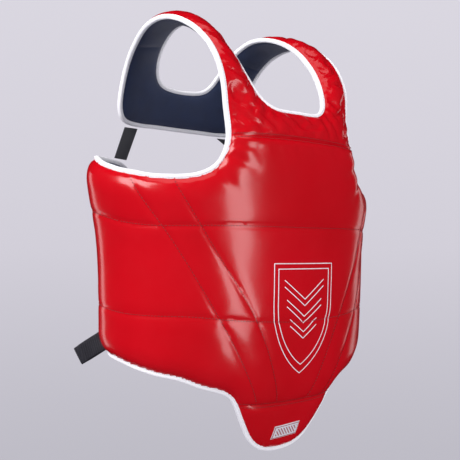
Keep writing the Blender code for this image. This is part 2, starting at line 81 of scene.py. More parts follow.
# The shoulder straps slope down from the arm to the neck: v, rise at the strap's middle, slope across it
STRAP_LEAN = [
    (0.390, 0.0000, 0.00), (0.430, 0.0000, 0.02), (0.470, 0.0050, 0.30), (0.520, 0.0060, 0.45),
    (0.570, 0.0022, 0.36), (0.620, -0.0008, 0.25), (0.680, 0.0000, 0.08), (0.730, 0.0000, 0.00),
]
STRAP_MIDDLE = 0.090
LEAN_REACH = (0.030, 0.140)
BACK_DEPTH = 0.114
CHEST_SQUARENESS = 2.25
MEAN_HALF_WIDTH = 0.200
MEAN_FRONT_DEPTH = 0.137
OUTER_EDGE = [
    (0.000, -0.005), (0.024, -0.003), (0.046, 0.007), (0.064, 0.027), (0.076, 0.045),
    (0.086, 0.061), (0.097, 0.073), (0.112, 0.080), (0.135, 0.085), (0.166, 0.098),
    (0.204, 0.109), (0.241, 0.117), (0.280, 0.124), (0.330, 0.127), (0.380, 0.128),
    (0.410, 0.134), (0.426, 0.152), (0.430, 0.182), (0.430, 0.250), (0.430, 0.318),
    (0.425, 0.350), (0.405, 0.370), (0.375, 0.376), (0.330, 0.375), (0.295, 0.371),
    (0.264, 0.360), (0.235, 0.3515), (0.201, 0.3445), (0.161, 0.3405), (0.137, 0.3440),
    (0.120, 0.354), (0.110, 0.371), (0.106, 0.395), (0.107, 0.425), (0.110, 0.470),
    (0.114, 0.520), (0.120, 0.565), (0.127, 0.610), (0.130, 0.665), (0.128, 0.720),
    (0.125, 0.770), (0.124, 0.815), (0.122, 0.843), (0.112, 0.861), (0.092, 0.867),
    (0.045, 0.868), (0.000, 0.868),
]
NECK_EDGE = [
    (0.000, 0.434), (0.020, 0.434), (0.038, 0.437), (0.050, 0.447), (0.057, 0.465),
    (0.064, 0.505), (0.068, 0.560), (0.069, 0.620), (0.067, 0.680), (0.063, 0.735),
    (0.056, 0.775), (0.042, 0.798), (0.020, 0.805), (0.000, 0.806),
]
FLAP_SEAM = 0.064
CHEST_SEAM = 0.392
YOKE_SEAM = 0.735
YOKE_CORNER = 0.080
FRONT_HALF = 0.011
FLAP_HALF = 0.0095
CHEST_HALF = 0.0085
YOKE_HALF = 0.0075
RIM_HALF = 0.0017
RIM_FLAT = 0.0053
SKIN = 0.0012
GAP = 0.0003
STRAP_LOW = 0.132
STRAP_HIGH = 0.170
STRAP_THICK = 0.0018
HOOK_THICK = 0.0011
PATCH_BASE = 0.0008
PATCH_TOP = 0.0014
HOOK_START = 0.380
HOOK_END = 0.422
ANCHOR_START = 0.392
STRAP_FOLD = 0.426
LOOP_LENGTH = 0.053
LOOP_WIDTH = 0.025
LOOP_BULGE = 0.010
LOOP_WEBBING = 0.0016
LOOP_DROOP = math.radians(31)
LOOP_STANDOFF = 0.0130
LOOP_HEIGHT = 0.139
ELASTIC_WIDTH = 0.028
ELASTIC_THICK = 0.0018
ELASTIC_YOKE = (0.090, 0.8715)
ELASTIC_WING = (0.394, 0.3790)
LABEL_HALF_WIDTH = 0.023
LABEL_LOW = 0.016
LABEL_HIGH = 0.034

# ---- The sewn surface ----

STEP = 0.0032            # spacing of the leather's mesh
SPLIT = 0.240            # where the front's leather ends and the wing's piece begins
FRONT_PUFF = 0.0022      # how far the stuffed leather stands above the CAD padding
THIN_PUFF = 0.0003
EDGE_RISE = 0.027
SEAM_PINCH = 0.34
SEAM_REACH = 0.013
QUILT_PINCH = 0.075
QUILT_REACH = 0.016
CREASE_DEPTH = 0.0009    # the narrow line that the stitches pull in
CREASE_REACH = 0.0042
SWELL_CAP = 0.0045
FRONT_SWELL = 0.25       # the thick front takes this share of the movement
SLACK = 0.014            # spare leather of the thin chest panel and straps, as a share of their length
FRONT_SLACK = 0.06       # how much of that the thick front has
LAST_FRAME = 20          # of the cloth simulation
LEATHER_WAVES = [(0.0007, 0.075, 1.3), (0.00025, 0.022, 7.7)]   # depth, size and seed of its soft waves
PRESSED_TOP = 0.0001     # the leather's height under the strap
PRESS_REACH = 0.012
PUCKER_DEPTH = 0.0030
PUCKER_SIZE = 0.034
PUCKER_STRETCH = 2.0
PUCKER_SHARE = 0.35      # how deep the puckers are away from the armhole

# Quilting lines on the left half; they are sewn through the leather and the foam
QUILT_LINES = [
    [(0.000, 0.2840), (0.100, 0.2840), (0.190, 0.2845), (0.241, 0.2910), (0.282, 0.3010), (0.340, 0.3080),
     (0.424, 0.3110)],
    [(0.000, 0.1680), (0.066, 0.1710), (0.114, 0.1740), (0.169, 0.1790), (0.249, 0.1830), (0.286, 0.1880),
     (0.350, 0.1920), (0.424, 0.1940)],
    [(0.2215, 0.3440), (0.168, 0.2538), (0.122, 0.1760), (0.076, 0.0980), (0.0585, 0.0665)],
    [(0.171, 0.3425), (0.142, 0.2840), (0.117, 0.2400), (0.087, 0.1950), (0.057, 0.1400), (0.0265, 0.0665)],
]


def cubic(knots, values, count=3000):
    """A natural cubic spline through values at knots, as a dense table."""
    knots = np.asarray(knots, float)
    values = np.asarray(values, float)
    size = len(knots)
    steps = np.diff(knots)
    matrix = np.eye(size)
    right = np.zeros(values.shape)
    for i in range(1, size - 1):
        matrix[i, i - 1:i + 2] = steps[i - 1], 2 * (steps[i - 1] + steps[i]), steps[i]
        right[i] = 6 * ((values[i + 1] - values[i]) / steps[i] - (values[i] - values[i - 1]) / steps[i - 1])
    bend = np.linalg.solve(matrix, right)
    at = np.linspace(knots[0], knots[-1], count)
    left = np.clip(np.searchsorted(knots, at) - 1, 0, size - 2)
    width = steps[left]
    up = at - knots[left]
    down = knots[left + 1] - at
    if values.ndim > 1:
        width, up, down = width[:, None], up[:, None], down[:, None]
    curve = (bend[left] * down ** 3 + bend[left + 1] * up ** 3) / (6 * width)
    curve += (values[left] / width - bend[left] * width / 6) * down
    curve += (values[left + 1] / width - bend[left + 1] * width / 6) * up
    return at, curve


def along(points):
    """Distances travelled along a row of points."""
    return np.concatenate([[0.0], np.cumsum(np.linalg.norm(np.diff(points, axis=0), axis=1))])


def smooth_line(points, count=3000):
    """A smooth curve through points, as (distance table, point table)."""
    points = np.array(points, float)
    _, curve = cubic(along(points), points, count)
    return along(curve), curve


def ease(x, low, high):
    """0 below low, 1 above high, and smooth between."""
    t = np.clip((x - low) / (high - low), 0, 1)
    return t * t * (3 - 2 * t)


LINE_V, LINE = smooth_line(CENTRE_LINE)
LINE_V = LINE_V + V_START
SLOPE = np.gradient(LINE, LINE_V, axis=0)
WIDTH_V, WIDTH = cubic(*np.array(HALF_WIDTHS).T)
LEAN_V, LEAN = cubic(np.array(STRAP_LEAN)[:, 0], np.array(STRAP_LEAN)[:, 1:])


def round_trunk(angle):
    """A unit outline of the trunk, squarer at the chest than at the back; angle 0 is the front."""
    across, ahead = np.sin(angle), np.cos(angle)
    power = np.where(ahead > 0, CHEST_SQUARENESS, 2.0)
    reach = (np.abs(across) ** power + np.abs(ahead) ** power) ** (-1 / power)
    return across * reach, ahead * reach


ANGLES = np.linspace(0, math.pi, 6001)
UNIT_X, UNIT_Y = round_trunk(ANGLES)
GIRTH = along(np.stack([
    MEAN_HALF_WIDTH * UNIT_X,
    np.where(UNIT_Y > 0, MEAN_FRONT_DEPTH, BACK_DEPTH) * UNIT_Y,
], axis=-1))
HALF_GIRTH = float(GIRTH[-1])


def surface(u, v):
    """The point at u round the trunk and v up it. Past the middle of the back, u carries on round."""
    u = np.asarray(u, float)
    u = np.where(u > HALF_GIRTH, u - 2 * HALF_GIRTH, u)
    across, ahead = round_trunk(np.interp(np.abs(u), GIRTH, ANGLES))
    line_y = np.interp(v, LINE_V, LINE[:, 0])
    line_z = np.interp(v, LINE_V, LINE[:, 1])
    front = -np.interp(np.minimum(v, CHEST_TOP), LINE_V, LINE[:, 0])
    chest_depth = -np.interp(CHEST_TOP, LINE_V, LINE[:, 0])
    front = front - (chest_depth - SHOULDER_DEPTH) * ease(v, CHEST_TOP, SHOULDER_LINE)
    drop = front - np.where(ahead > 0, front, BACK_DEPTH) * ahead
    across_strap = np.clip(np.abs(u), *LEAN_REACH) - STRAP_MIDDLE
    drop = drop - np.interp(v, LEAN_V, LEAN[:, 0]) - np.interp(v, LEAN_V, LEAN[:, 1]) * across_strap
    level = ease(np.abs(u), 0.12, 0.20)
    out_y = -np.interp(v, LINE_V, SLOPE[:, 1]) * (1 - level) - level
    out_z = np.interp(v, LINE_V, SLOPE[:, 0]) * (1 - level)
    size = np.hypot(out_y, out_z)
    x = np.sign(u) * np.interp(v, WIDTH_V, WIDTH) * across
    return np.stack([x, line_y - drop * out_y / size, line_z - drop * out_z / size], axis=-1)


def outward(u, v, reach=4e-4):
    """The surface's unit normal, away from the wearer."""
    u = np.asarray(u, float)
    v = np.asarray(v, float)
    round_it = surface(u + reach, v) - surface(u - reach, v)
    up_it = surface(u, v + reach) - surface(u, v - reach)
    normal = np.cross(round_it, up_it)
    return normal / np.linalg.norm(normal, axis=-1, keepdims=True)


def place(u, v, w):
    """The point at pattern place u, v and height w."""
    u, v, w = np.broadcast_arrays(np.asarray(u, float), np.asarray(v, float), np.asarray(w, float))
    return surface(u, v) + outward(u, v) * w[..., None]


def look_up(at, lengths, rows):
    """The rows' values at the distances at along them."""
    return np.stack([np.interp(at, lengths, column) for column in np.transpose(rows)], axis=-1)


def resample(points, step, lengths=None):
    """A row of points at even spacing near step."""
    lengths = along(points) if lengths is None else lengths
    count = max(1, round(float(lengths[-1] - lengths[0]) / step))
    return look_up(np.linspace(lengths[0], lengths[-1], count + 1), lengths, points)


class Edge:
    """One smooth cut edge of the left half, cut at the seams and splits."""

    def __init__(self, points, inside_is_left, cuts):
        self.length, self.curve = smooth_line(points, 6000)
        tangent = np.gradient(self.curve, self.length, axis=0)
        tangent /= np.linalg.norm(tangent, axis=1, keepdims=True)
        side = 1 if inside_is_left else -1
        self.inward = np.stack([-tangent[:, 1], tangent[:, 0]], axis=-1) * side
        self.stops = [0]
        self.turns = [None]
        for axis, value in cuts:
            start = self.stops[-1] + 5
            over = self.curve[start:, axis] > value
            self.stops.append(start + int(np.argmax(over != over[0])))
            self.turns.append((axis, value))
        self.stops.append(len(self.curve) - 1)
        self.turns.append(None)

    def between(self, first, last, step=STEP):
        """Even stations from one stop to another: rows of u, v, inward u, inward v."""
        parts = []
        for part in range(first, last):
            low, high = self.stops[part], self.stops[part + 1]
            rows = np.concatenate([self.curve, self.inward], axis=1)[low:high + 1]
            rows = resample(rows, step, self.length[low:high + 1])
            for row, turn in ((rows[0], self.turns[part]), (rows[-1], self.turns[part + 1])):
                if turn is None:
                    row[0] = 0.0
                    row[2:] = 0.0, math.copysign(1.0, row[3])
                else:
                    row[turn[0]] = turn[1]
            parts.append(rows if not parts else rows[1:])
        return np.concatenate(parts)


# Stops: 0 flap tip, 1 flap seam, 2 and 3 splits, 4 chest seam, 5 yoke seam, 6 yoke corner, 7 yoke's bottom
OUTER = Edge(OUTER_EDGE, True, [
    (1, FLAP_SEAM), (0, SPLIT), (0, SPLIT), (1, CHEST_SEAM), (1, YOKE_SEAM), (0, YOKE_CORNER),
])
# Stops: 0 front, 1 yoke seam, 2 back
NECK = Edge(NECK_EDGE, False, [(1, YOKE_SEAM)])


def mirrored(rows):
    """The same stations on the wearer's right, run the other way."""
    return rows[::-1] * np.array([-1, 1, -1, 1])


def tree_of(points):
    """A search tree over pattern points."""
    tree = kdtree.KDTree(len(points))
    for number, (x, y) in enumerate(points):
        tree.insert((x, y, 0), number)
    tree.balance()
    return tree


def distances(tree, u, v):
    """How far each pattern point is from the tree's points, with the right half folded onto the left."""
    return np.array([tree.find((abs(a), b, 0))[2] for a, b in zip(u, v)])


RIM_TREE = tree_of(np.concatenate([OUTER.curve[::3], NECK.curve[::2]]))
QUILT_CURVES = [resample(smooth_line(line)[1], 0.0005) for line in QUILT_LINES]
QUILT_TREE = tree_of(np.concatenate(QUILT_CURVES))


def inside(points, loop):
    """Which points lie inside a closed loop."""
    result = np.zeros(len(points), bool)
    for (x1, y1), (x2, y2) in zip(loop, np.roll(loop, -1, axis=0)):
        if y1 == y2:
            continue
        crosses = (points[:, 1] > y1) != (points[:, 1] > y2)
        at = x1 + (points[:, 1] - y1) * (x2 - x1) / (y2 - y1)
        result ^= crosses & (points[:, 0] < at)
    return result


def seam_line(start, end):
    """The points of a straight seam between two edge points, its ends left out."""
    return resample([start, end], STEP)[1:-1]


def fill(loop, lines=()):
    """Fine, even triangles inside a closed loop, with edges along the given lines."""
    loop = np.asarray(loop)
    low, high = loop.min(axis=0), loop.max(axis=0)
    rows = int((high[1] - low[1]) / (STEP * 0.866)) + 2
    columns = int((high[0] - low[0]) / STEP) + 2
    grid = np.array([
        (low[0] + (column + 0.5 * (row % 2)) * STEP, low[1] + row * STEP * 0.866)
        for row in range(rows) for column in range(columns)
    ])
    grid = grid[inside(grid, loop)]
    fixed = np.concatenate([loop, *lines])
    near = tree_of(fixed)
    grid = np.array([p for p in grid if near.find((p[0], p[1], 0))[2] > 0.62 * STEP])
    edges = [(i, (i + 1) % len(loop)) for i in range(len(loop))]
    start = len(loop)
    for line in lines:
        edges += [(start + i, start + i + 1) for i in range(len(line) - 1)]
        start += len(line)
    points = [Vector(p) for p in np.concatenate([fixed, grid])]
    points, _, triangles, *_ = geometry.delaunay_2d_cdt(points, edges, [], 0, 1e-5)
    points = np.array([tuple(p) for p in points])
    triangles = np.array(triangles)
    keep = inside(points[triangles].mean(axis=1), loop)
    return points, triangles[keep]


def both_sides(line):
    """A quilting line and its mirror image; a line that starts in the middle is one line right across."""
    if abs(line[0][0]) < 1e-6:
        return [np.concatenate([(line * (-1, 1))[::-1], line[1:]])]
    return [line, line * (-1, 1)]


def outline(*edges):
    """The places of edges joined end to end by straight seams, where they don't already meet."""
    parts = []
    for edge, following in zip(edges, edges[1:] + edges[:1]):
        parts += [edge[:, :2], seam_line(edge[-1, :2], following[0, :2])]
    return np.concatenate(parts)


def pattern_panels():
    """Each panel's outline filled with triangles: front with wings, flap, chest with straps, yoke."""
    lines = [resample(half, STEP * 0.9) for curve in QUILT_CURVES for half in both_sides(curve)]
    split_low = OUTER.curve[OUTER.stops[2], 1] + 0.002
    split_high = OUTER.curve[OUTER.stops[3], 1] - 0.002
    lines += [resample([(side * SPLIT, split_low), (side * SPLIT, split_high)], STEP) for side in (1, -1)]
    edge = OUTER.between(1, 4)
    tip = OUTER.between(0, 1)
    strap = OUTER.between(4, 5)
    corner = OUTER.between(5, 7)
    neck = NECK.between(0, 1)
    nape = NECK.between(1, 2)
    return {
        "front": fill(outline(edge, mirrored(edge)), lines),
        "flap": fill(outline(tip, mirrored(tip)[:-1])),
        "chest": fill(outline(strap, neck[::-1], mirrored(neck)[::-1][1:], mirrored(strap))),
        "yoke": fill(outline(corner, mirrored(corner)[1:], mirrored(nape)[::-1], nape[::-1][1:])),
    }


PANELS = pattern_panels()
PATTERN = np.concatenate([points for points, _ in PANELS.values()])
STARTS = np.cumsum([0] + [len(points) for points, _ in PANELS.values()])
TRIANGLES = np.concatenate([triangles + start for (_, triangles), start in zip(PANELS.values(), STARTS)])
PANEL_OF = np.repeat(list(PANELS), [len(triangles) for _, triangles in PANELS.values()])
RIM = distances(RIM_TREE, *PATTERN.T)
QUILT = distances(QUILT_TREE, *PATTERN.T)
ON_FRONT = (PATTERN[:, 1] > FLAP_SEAM - 1e-6) & (PATTERN[:, 1] < CHEST_SEAM + 1e-6)
QUILT = np.where(ON_FRONT, QUILT, 1.0)
SEAM = np.abs(PATTERN[:, 1][:, None] - np.array([FLAP_SEAM, CHEST_SEAM, YOKE_SEAM])).min(axis=1)


def roundness(x, reach):
    """0 at a sewn line, rising like a quarter circle to 1 at reach."""
    t = np.clip(x / reach, 0, 1)
    return np.sqrt(np.clip(1 - (1 - t) ** 2, 0, 1))


def valley(x, reach):
    """0 at a sewn line, rising to 1 at reach with a soft top."""
    t = np.clip(x / reach, 0, 1)
    return np.sin(t * math.pi / 2) ** 0.85


def full_half(v):
    """Half of the padding's full thickness, panel by panel."""
    full = FLAP_HALF + (FRONT_HALF - FLAP_HALF) * ease(v, FLAP_SEAM, FLAP_SEAM + 0.03)
    full = full - (FRONT_HALF - CHEST_HALF) * ease(v, CHEST_SEAM - 0.004, CHEST_SEAM + 0.004)
    return full - (CHEST_HALF - YOKE_HALF) * ease(v, YOKE_SEAM - 0.03, YOKE_SEAM + 0.03)


def quilt_pull(v):
    """How hard the quilting is pulled in: less where the diagonals run close together low on the front."""
    return 0.45 + 0.30 * ease(v, 0.10, 0.17) + 0.25 * ease(v, 0.26, 0.285)


def stuffed(puff, seam_pinch, quilt_pinch):
    """Half thickness at every pattern point: crowned between the rim, the seams and the quilting."""
    v = PATTERN[:, 1]
    on_front = ease(v, FLAP_SEAM - 0.02, FLAP_SEAM + 0.03) * (1 - ease(v, CHEST_SEAM, CHEST_SEAM + 0.01))
    full = full_half(v) + puff * on_front
    full = full * (1 - seam_pinch * (1 - valley(SEAM, SEAM_REACH)))
    full = full * (1 - quilt_pinch * quilt_pull(v) * (1 - valley(QUILT, QUILT_REACH)))
    crown = roundness(RIM - RIM_FLAT, EDGE_RISE)
    return RIM_HALF + np.maximum(full - RIM_HALF, 0.0006) * crown


def wobble(points, size, seed):
    """Smooth noise from -1 to 1 over pattern points, with bumps about size apart."""
    return np.array([noise.noise((a / size, b / size, seed)) for a, b in points])


def mesh_normals(places, triangles):
    """Smooth vertex normals of a triangle mesh."""
    corners = places[triangles]
    face = np.cross(corners[:, 1] - corners[:, 0], corners[:, 2] - corners[:, 0])
    total = np.zeros_like(places)
    for i in range(3):
        np.add.at(total, triangles[:, i], face)
    return total / np.maximum(np.linalg.norm(total, axis=1, keepdims=True), 1e-12)


# ---- Creases: each is a short fold pressed into the leather, from one pattern place to another ----

CREASES = [
    # Fingers that run from the armhole into the chest, just under the chest seam
    ((0.104, 0.383), (0.074, 0.378), 0.0050, 0.0026),
    ((0.108, 0.368), (0.074, 0.352), 0.0065, 0.0030),
    ((0.120, 0.352), (0.098, 0.326), 0.0065, 0.0026),
    ((0.146, 0.340), (0.138, 0.322), 0.0055, 0.0012),
    # Puckers on the shoulder straps
    ((0.101, 0.404), (0.082, 0.400), 0.0032, 0.0022),
    ((0.101, 0.418), (0.084, 0.408), 0.0034, 0.0026),
    ((0.102, 0.434), (0.083, 0.420), 0.0036, 0.0028),
    ((0.103, 0.452), (0.084, 0.436), 0.0036, 0.0026),
    ((0.104, 0.472), (0.086, 0.456), 0.0036, 0.0022),
    ((0.106, 0.492), (0.088, 0.478), 0.0034, 0.0018),
    ((0.108, 0.515), (0.074, 0.486), 0.0040, 0.0014),
    ((0.110, 0.548), (0.070, 0.512), 0.0040, 0.0014),
    ((0.114, 0.590), (0.073, 0.556), 0.0045, 0.0013),
    ((0.118, 0.640), (0.072, 0.610), 0.0045, 0.0012),
    # Folds that fan out from the neck's corners
    ((0.050, 0.438), (0.064, 0.400), 0.0040, 0.0013),
    ((0.040, 0.432), (0.044, 0.402), 0.0035, 0.0010),
    ((0.058, 0.452), (0.080, 0.410), 0.0040, 0.0014),
    ((0.020, 0.428), (-0.016, 0.402), 0.0045, 0.0009),
    ((0.064, 0.470), (0.092, 0.424), 0.0040, 0.0012),
]


def creased():
    """How far the creases press the leather in, at every pattern point."""
    u, v = PATTERN.T
    total = np.zeros(len(u))
    for side in (1, -1):
        for number, (start, end, width, depth) in enumerate(CREASES):
            shift = 0.004 * noise.noise((number * 3.7, side * 5.1, 0.5))
            start = np.array(start) * (side, 1) + (0, shift)
            end = np.array(end) * (side, 1) + (0, shift)
            run = end - start
            t = np.clip(((u - start[0]) * run[0] + (v - start[1]) * run[1]) / np.dot(run, run), 0, 1)
            away = np.hypot(u - start[0] - t * run[0], v - start[1] - t * run[1])
            total += depth * np.exp(-(away / width) ** 2) * (1 - 0.75 * t)
    return total * ease(RIM, RIM_FLAT * 0.9, RIM_FLAT + 0.006)


def puckered():
    """Sharp small puckers across the shoulder straps, strongest beside the armhole."""
    u, v = PATTERN.T
    on_strap = ease(v, CHEST_SEAM + 0.004, CHEST_SEAM + 0.02) * (1 - ease(v, 0.60, 0.70))
    by_arm = PUCKER_SHARE + (1 - PUCKER_SHARE) * ease(np.abs(u), 0.055, 0.095) * (1 - ease(v, 0.50, 0.58))
    slanted = np.stack([u + 0.5 * np.abs(v), (v - 0.45 * np.abs(u)) * PUCKER_STRETCH], axis=-1)
    folds = 1 - np.clip(np.abs(wobble(slanted, PUCKER_SIZE, 4.4)) * 3, 0, 1)
    return PUCKER_DEPTH * on_strap * by_arm * folds * ease(RIM, RIM_FLAT, RIM_FLAT + 0.008)


def new_object(name, data):
    """An object in the scene that shows the given mesh, lamp or camera."""
    item = bpy.data.objects.new(name, data)
    bpy.context.scene.collection.objects.link(item)
    return item


def swollen(start):
    """The leather after a cloth simulation: blown out by its filling, and held at every line of stitches."""
    mesh = bpy.data.meshes.new("blown")
    fill_mesh(mesh, start, TRIANGLES)
    item = new_object("blown", mesh)
    sewn = (QUILT < 0.0012) | (RIM < RIM_FLAT + 0.0005) | (SEAM < 0.0008)
    held = item.vertex_groups.new(name="held")
    held.add([int(i) for i in np.nonzero(sewn)[0]], 1.0, "REPLACE")
    taut = item.vertex_groups.new(name="taut")
    share = FRONT_SLACK + (1 - FRONT_SLACK) * ease(PATTERN[:, 1], CHEST_SEAM - 0.02, CHEST_SEAM)
    for number, value in enumerate(share):
        taut.add([number], 1 - float(value), "REPLACE")
    cloth = item.modifiers.new("cloth", "CLOTH")
    cloth.settings.vertex_group_mass = "held"
    cloth.settings.vertex_group_shrink = "taut"
    cloth.settings.shrink_min = -SLACK
    cloth.settings.shrink_max = 0.0
    cloth.settings.quality = 5
    cloth.settings.mass = 0.25
    cloth.settings.tension_stiffness = 12
    cloth.settings.compression_stiffness = 12
    cloth.settings.shear_stiffness = 6
    cloth.settings.bending_stiffness = 0.35
    cloth.settings.use_pressure = True
    cloth.settings.uniform_pressure_force = 3.0
    cloth.settings.effector_weights.gravity = 0.0
    cloth.collision_settings.use_collision = False
    cloth.point_cache.frame_start = 1
    cloth.point_cache.frame_end = LAST_FRAME
    scene = bpy.context.scene
    for number in range(1, LAST_FRAME + 1):
        scene.frame_set(number)
    result = item.evaluated_get(bpy.context.evaluated_depsgraph_get())
    places = np.zeros(len(start) * 3)
    result.data.vertices.foreach_get("co", places)
    scene.frame_set(1)
    bpy.data.objects.remove(item, do_unlink=True)
    move = places.reshape(-1, 3) - start
    size = np.linalg.norm(move, axis=1, keepdims=True)
    move *= np.minimum(1.0, SWELL_CAP / np.maximum(size, 1e-9))
    move *= FRONT_SWELL + (1 - FRONT_SWELL) * ease(PATTERN[:, 1:], CHEST_SEAM - 0.03, CHEST_SEAM)
    return start + move


def fill_mesh(mesh, places, triangles):
    """Writes vertices and triangles into a mesh."""
    mesh.vertices.add(len(places))
    mesh.vertices.foreach_set("co", np.asarray(places, np.float32).ravel())
    mesh.loops.add(len(triangles) * 3)
    mesh.loops.foreach_set("vertex_index", np.asarray(triangles, np.int32).ravel())
    mesh.polygons.add(len(triangles))
    mesh.polygons.foreach_set("loop_start", np.arange(len(triangles), dtype=np.int32) * 3)
    mesh.update(calc_edges=True)
    mesh.validate()


def under_strap():
    """1 where the waist strap presses the wings flat, 0 elsewhere."""
    u, v = np.abs(PATTERN[:, 0]), PATTERN[:, 1]
    level = ease(v, STRAP_LOW - PRESS_REACH, STRAP_LOW) * (1 - ease(v, STRAP_HIGH, STRAP_HIGH + PRESS_REACH))
    return level * ease(u, HOOK_START - PRESS_REACH, HOOK_START)


def leather_surface():
    """The leather's outer face: (places, normals) at every pattern point."""
    u, v = PATTERN.T
    pressed = under_strap()
    height = THIN_PUFF + stuffed(FRONT_PUFF - THIN_PUFF, SEAM_PINCH, QUILT_PINCH)
    free = ease(RIM, RIM_FLAT, 0.030) * ease(QUILT, 0.0, 0.018) * ease(SEAM, 0.0, 0.018)
    for depth, size, seed in LEATHER_WAVES:
        height += depth * free * wobble(PATTERN, size, seed)
    height -= creased()
    height -= CREASE_DEPTH * quilt_pull(v) * (1 - ease(QUILT, 0.0, CREASE_REACH)) * ease(RIM, RIM_FLAT, 0.012)
    height -= puckered()
    height -= pressed * np.maximum(height - FRONT_HALF - PRESSED_TOP, 0)
    start = place(u, v, height - FRONT_HALF)
    places = start + (swollen(start) - start) * (1 - pressed[:, None])
    return places, mesh_normals(places, TRIANGLES)


OUTSIDE, OUT_NORMAL = leather_surface()
LINED = -FRONT_HALF - stuffed(0.0, 0.30, 0.16)
LINED += 0.0004 * ease(RIM, RIM_FLAT, 0.03) * wobble(PATTERN, 0.030, 3.1)
LINING = place(PATTERN[:, 0], PATTERN[:, 1], LINED)
LINING_IN = -mesh_normals(LINING, TRIANGLES)


class Skin:
    """The finished leather, asked for its place and normal at any pattern point."""

    def __init__(self, places, normals):
        self.tree = BVHTree.FromPolygons([(a, b, 0.0) for a, b in PATTERN], TRIANGLES.tolist())
        self.places = places
        self.normals = normals

    def at(self, u, v, lift=0.0):
        """(place, normal) at u, v, raised by lift."""
        hit, _, index, _ = self.tree.find_nearest((u, v, 0.0))
        ids = TRIANGLES[index]
        a, b, c = PATTERN[ids]
        p = np.array([hit[0], hit[1]])
        area = (b[0] - a[0]) * (c[1] - a[1]) - (c[0] - a[0]) * (b[1] - a[1])
        wb = ((p[0] - a[0]) * (c[1] - a[1]) - (c[0] - a[0]) * (p[1] - a[1])) / area
        wc = ((b[0] - a[0]) * (p[1] - a[1]) - (p[0] - a[0]) * (b[1] - a[1])) / area
        weights = np.array([1 - wb - wc, wb, wc])
        normal = weights @ self.normals[ids]
        normal = normal / np.linalg.norm(normal)
        return weights @ self.places[ids] + normal * lift, normal


SKIN_TOP = Skin(OUTSIDE, OUT_NORMAL)


# ---- Materials ----

FINISHES = {}


class Finish:
    """A material under construction, with short ways to add its nodes."""

    def __init__(self, name, color, roughness, **sockets):
        FINISHES[name] = bpy.data.materials.new(name)
        FINISHES[name].use_nodes = True
        self.tree = FINISHES[name].node_tree
        self.shader = self.tree.nodes["Principled BSDF"]
        sockets.update(Base_Color=(*color, 1), Roughness=roughness)
        for key, value in sockets.items():
            self.shader.inputs[key.replace("_", " ")].default_value = value

    def feed(self, socket, value):
        """Wires another node's output to a socket, or sets the socket to a plain value."""
        if isinstance(value, bpy.types.NodeSocket):
            self.tree.links.new(value, socket)
        else:
            socket.default_value = value

    def node(self, kind, **values):
        """A new node. Each value goes to the socket of that name, or to the setting of that name."""
        node = self.tree.nodes.new(kind)
        for key, value in values.items():
            socket = node.inputs.get(key.replace("_", " "))
            if socket is None:
                setattr(node, key, value)
            else:
                self.feed(socket, value)
        return node

    def where(self, kind="Object"):
        return self.node("ShaderNodeTexCoord").outputs[kind]

    def noise(self, where, scale, detail=2.0, rough=0.55):
        node = self.node("ShaderNodeTexNoise", Vector=where, Scale=scale, Detail=detail, Roughness=rough)
        return node.outputs["Fac"]

    def cells(self, where, scale):
        return self.node("ShaderNodeTexVoronoi", Vector=where, Scale=scale).outputs["Distance"]

    def wave(self, where, scale, direction):
        node = self.node("ShaderNodeTexWave", Vector=where, Scale=scale, bands_direction=direction)
        return node.outputs["Fac"]

    def math(self, operation, a, b):
        node = self.node("ShaderNodeMath", operation=operation)
        self.feed(node.inputs[0], a)
        self.feed(node.inputs[1], b)
        return node.outputs[0]

    def mix(self, a, b, share):
        """share of a, and the rest of b."""
        return self.math("ADD", self.math("MULTIPLY", a, share), self.math("MULTIPLY", b, 1 - share))

    def tint(self, value, dark, light, low=0.3, high=0.7):
        node = self.node("ShaderNodeValToRGB", Fac=value)
        for stop, position, color in zip(node.color_ramp.elements, (low, high), (dark, light)):
            stop.position = position
            stop.color = (*color, 1)
        self.feed(self.shader.inputs["Base Color"], node.outputs["Color"])

    def rough(self, value, low, high):
        node = self.node("ShaderNodeMapRange", Value=value, To_Min=low, To_Max=high)
        self.feed(self.shader.inputs["Roughness"], node.outputs["Result"])

    def bump(self, *layers):
        """Each layer is (height, strength, distance); they stack."""
        before = {}
        for height, strength, distance in layers:
            node = self.node("ShaderNodeBump", Height=height, Strength=strength, Distance=distance, **before)
            before = {"Normal": node.outputs["Normal"]}
        self.feed(self.shader.inputs["Normal"], before["Normal"])


def make_red_leather():
    """Glossy coated leather with a fine pebble grain and faint scuffs."""
    coating = {"IOR": 1.46, "Coat_Weight": 0.12, "Coat_Roughness": 0.12}
    finish = Finish("red_leather", (0.50, 0.0004, 0.0055), 0.22, **coating)
    where = finish.where()
    finish.tint(finish.noise(where, 9, 4), (0.480, 0.0002, 0.0045), (0.540, 0.0005, 0.0068))
    finish.rough(finish.noise(where, 38, 5, 0.62), 0.16, 0.26)
    finish.bump((finish.cells(where, 620), 0.10, 0.00025), (finish.noise(where, 1500), 0.08, 0.00015))


def make_thread_finish(name, roughness, sheen, fineness, color, dark, light):
    """Twisted thread, darker where its strands meet."""
    finish = Finish(name, color, roughness, Sheen_Weight=sheen)
    where = finish.where()
    finish.tint(finish.noise(where, fineness), dark, light)
    finish.bump((finish.noise(where, 2600), 0.4, 0.0002))


def make_white_tape():
    """Ribbed binding tape: fine ribs across it, and a little grey where they are pressed."""
    finish = Finish("white_tape", (0.82, 0.82, 0.85), 0.62, Sheen_Weight=0.25, Sheen_Roughness=0.5)
    where = finish.where("UV")
    ribs = finish.wave(where, 190, "X")
    soft = finish.noise(finish.where(), 55, 4)
    finish.tint(finish.mix(ribs, soft, 0.35), (0.80, 0.80, 0.83), (0.95, 0.95, 0.96), 0.15, 0.75)
    finish.rough(soft, 0.55, 0.72)
    finish.bump((ribs, 0.35, 0.0003), (finish.noise(where, 2400), 0.25, 0.0002))


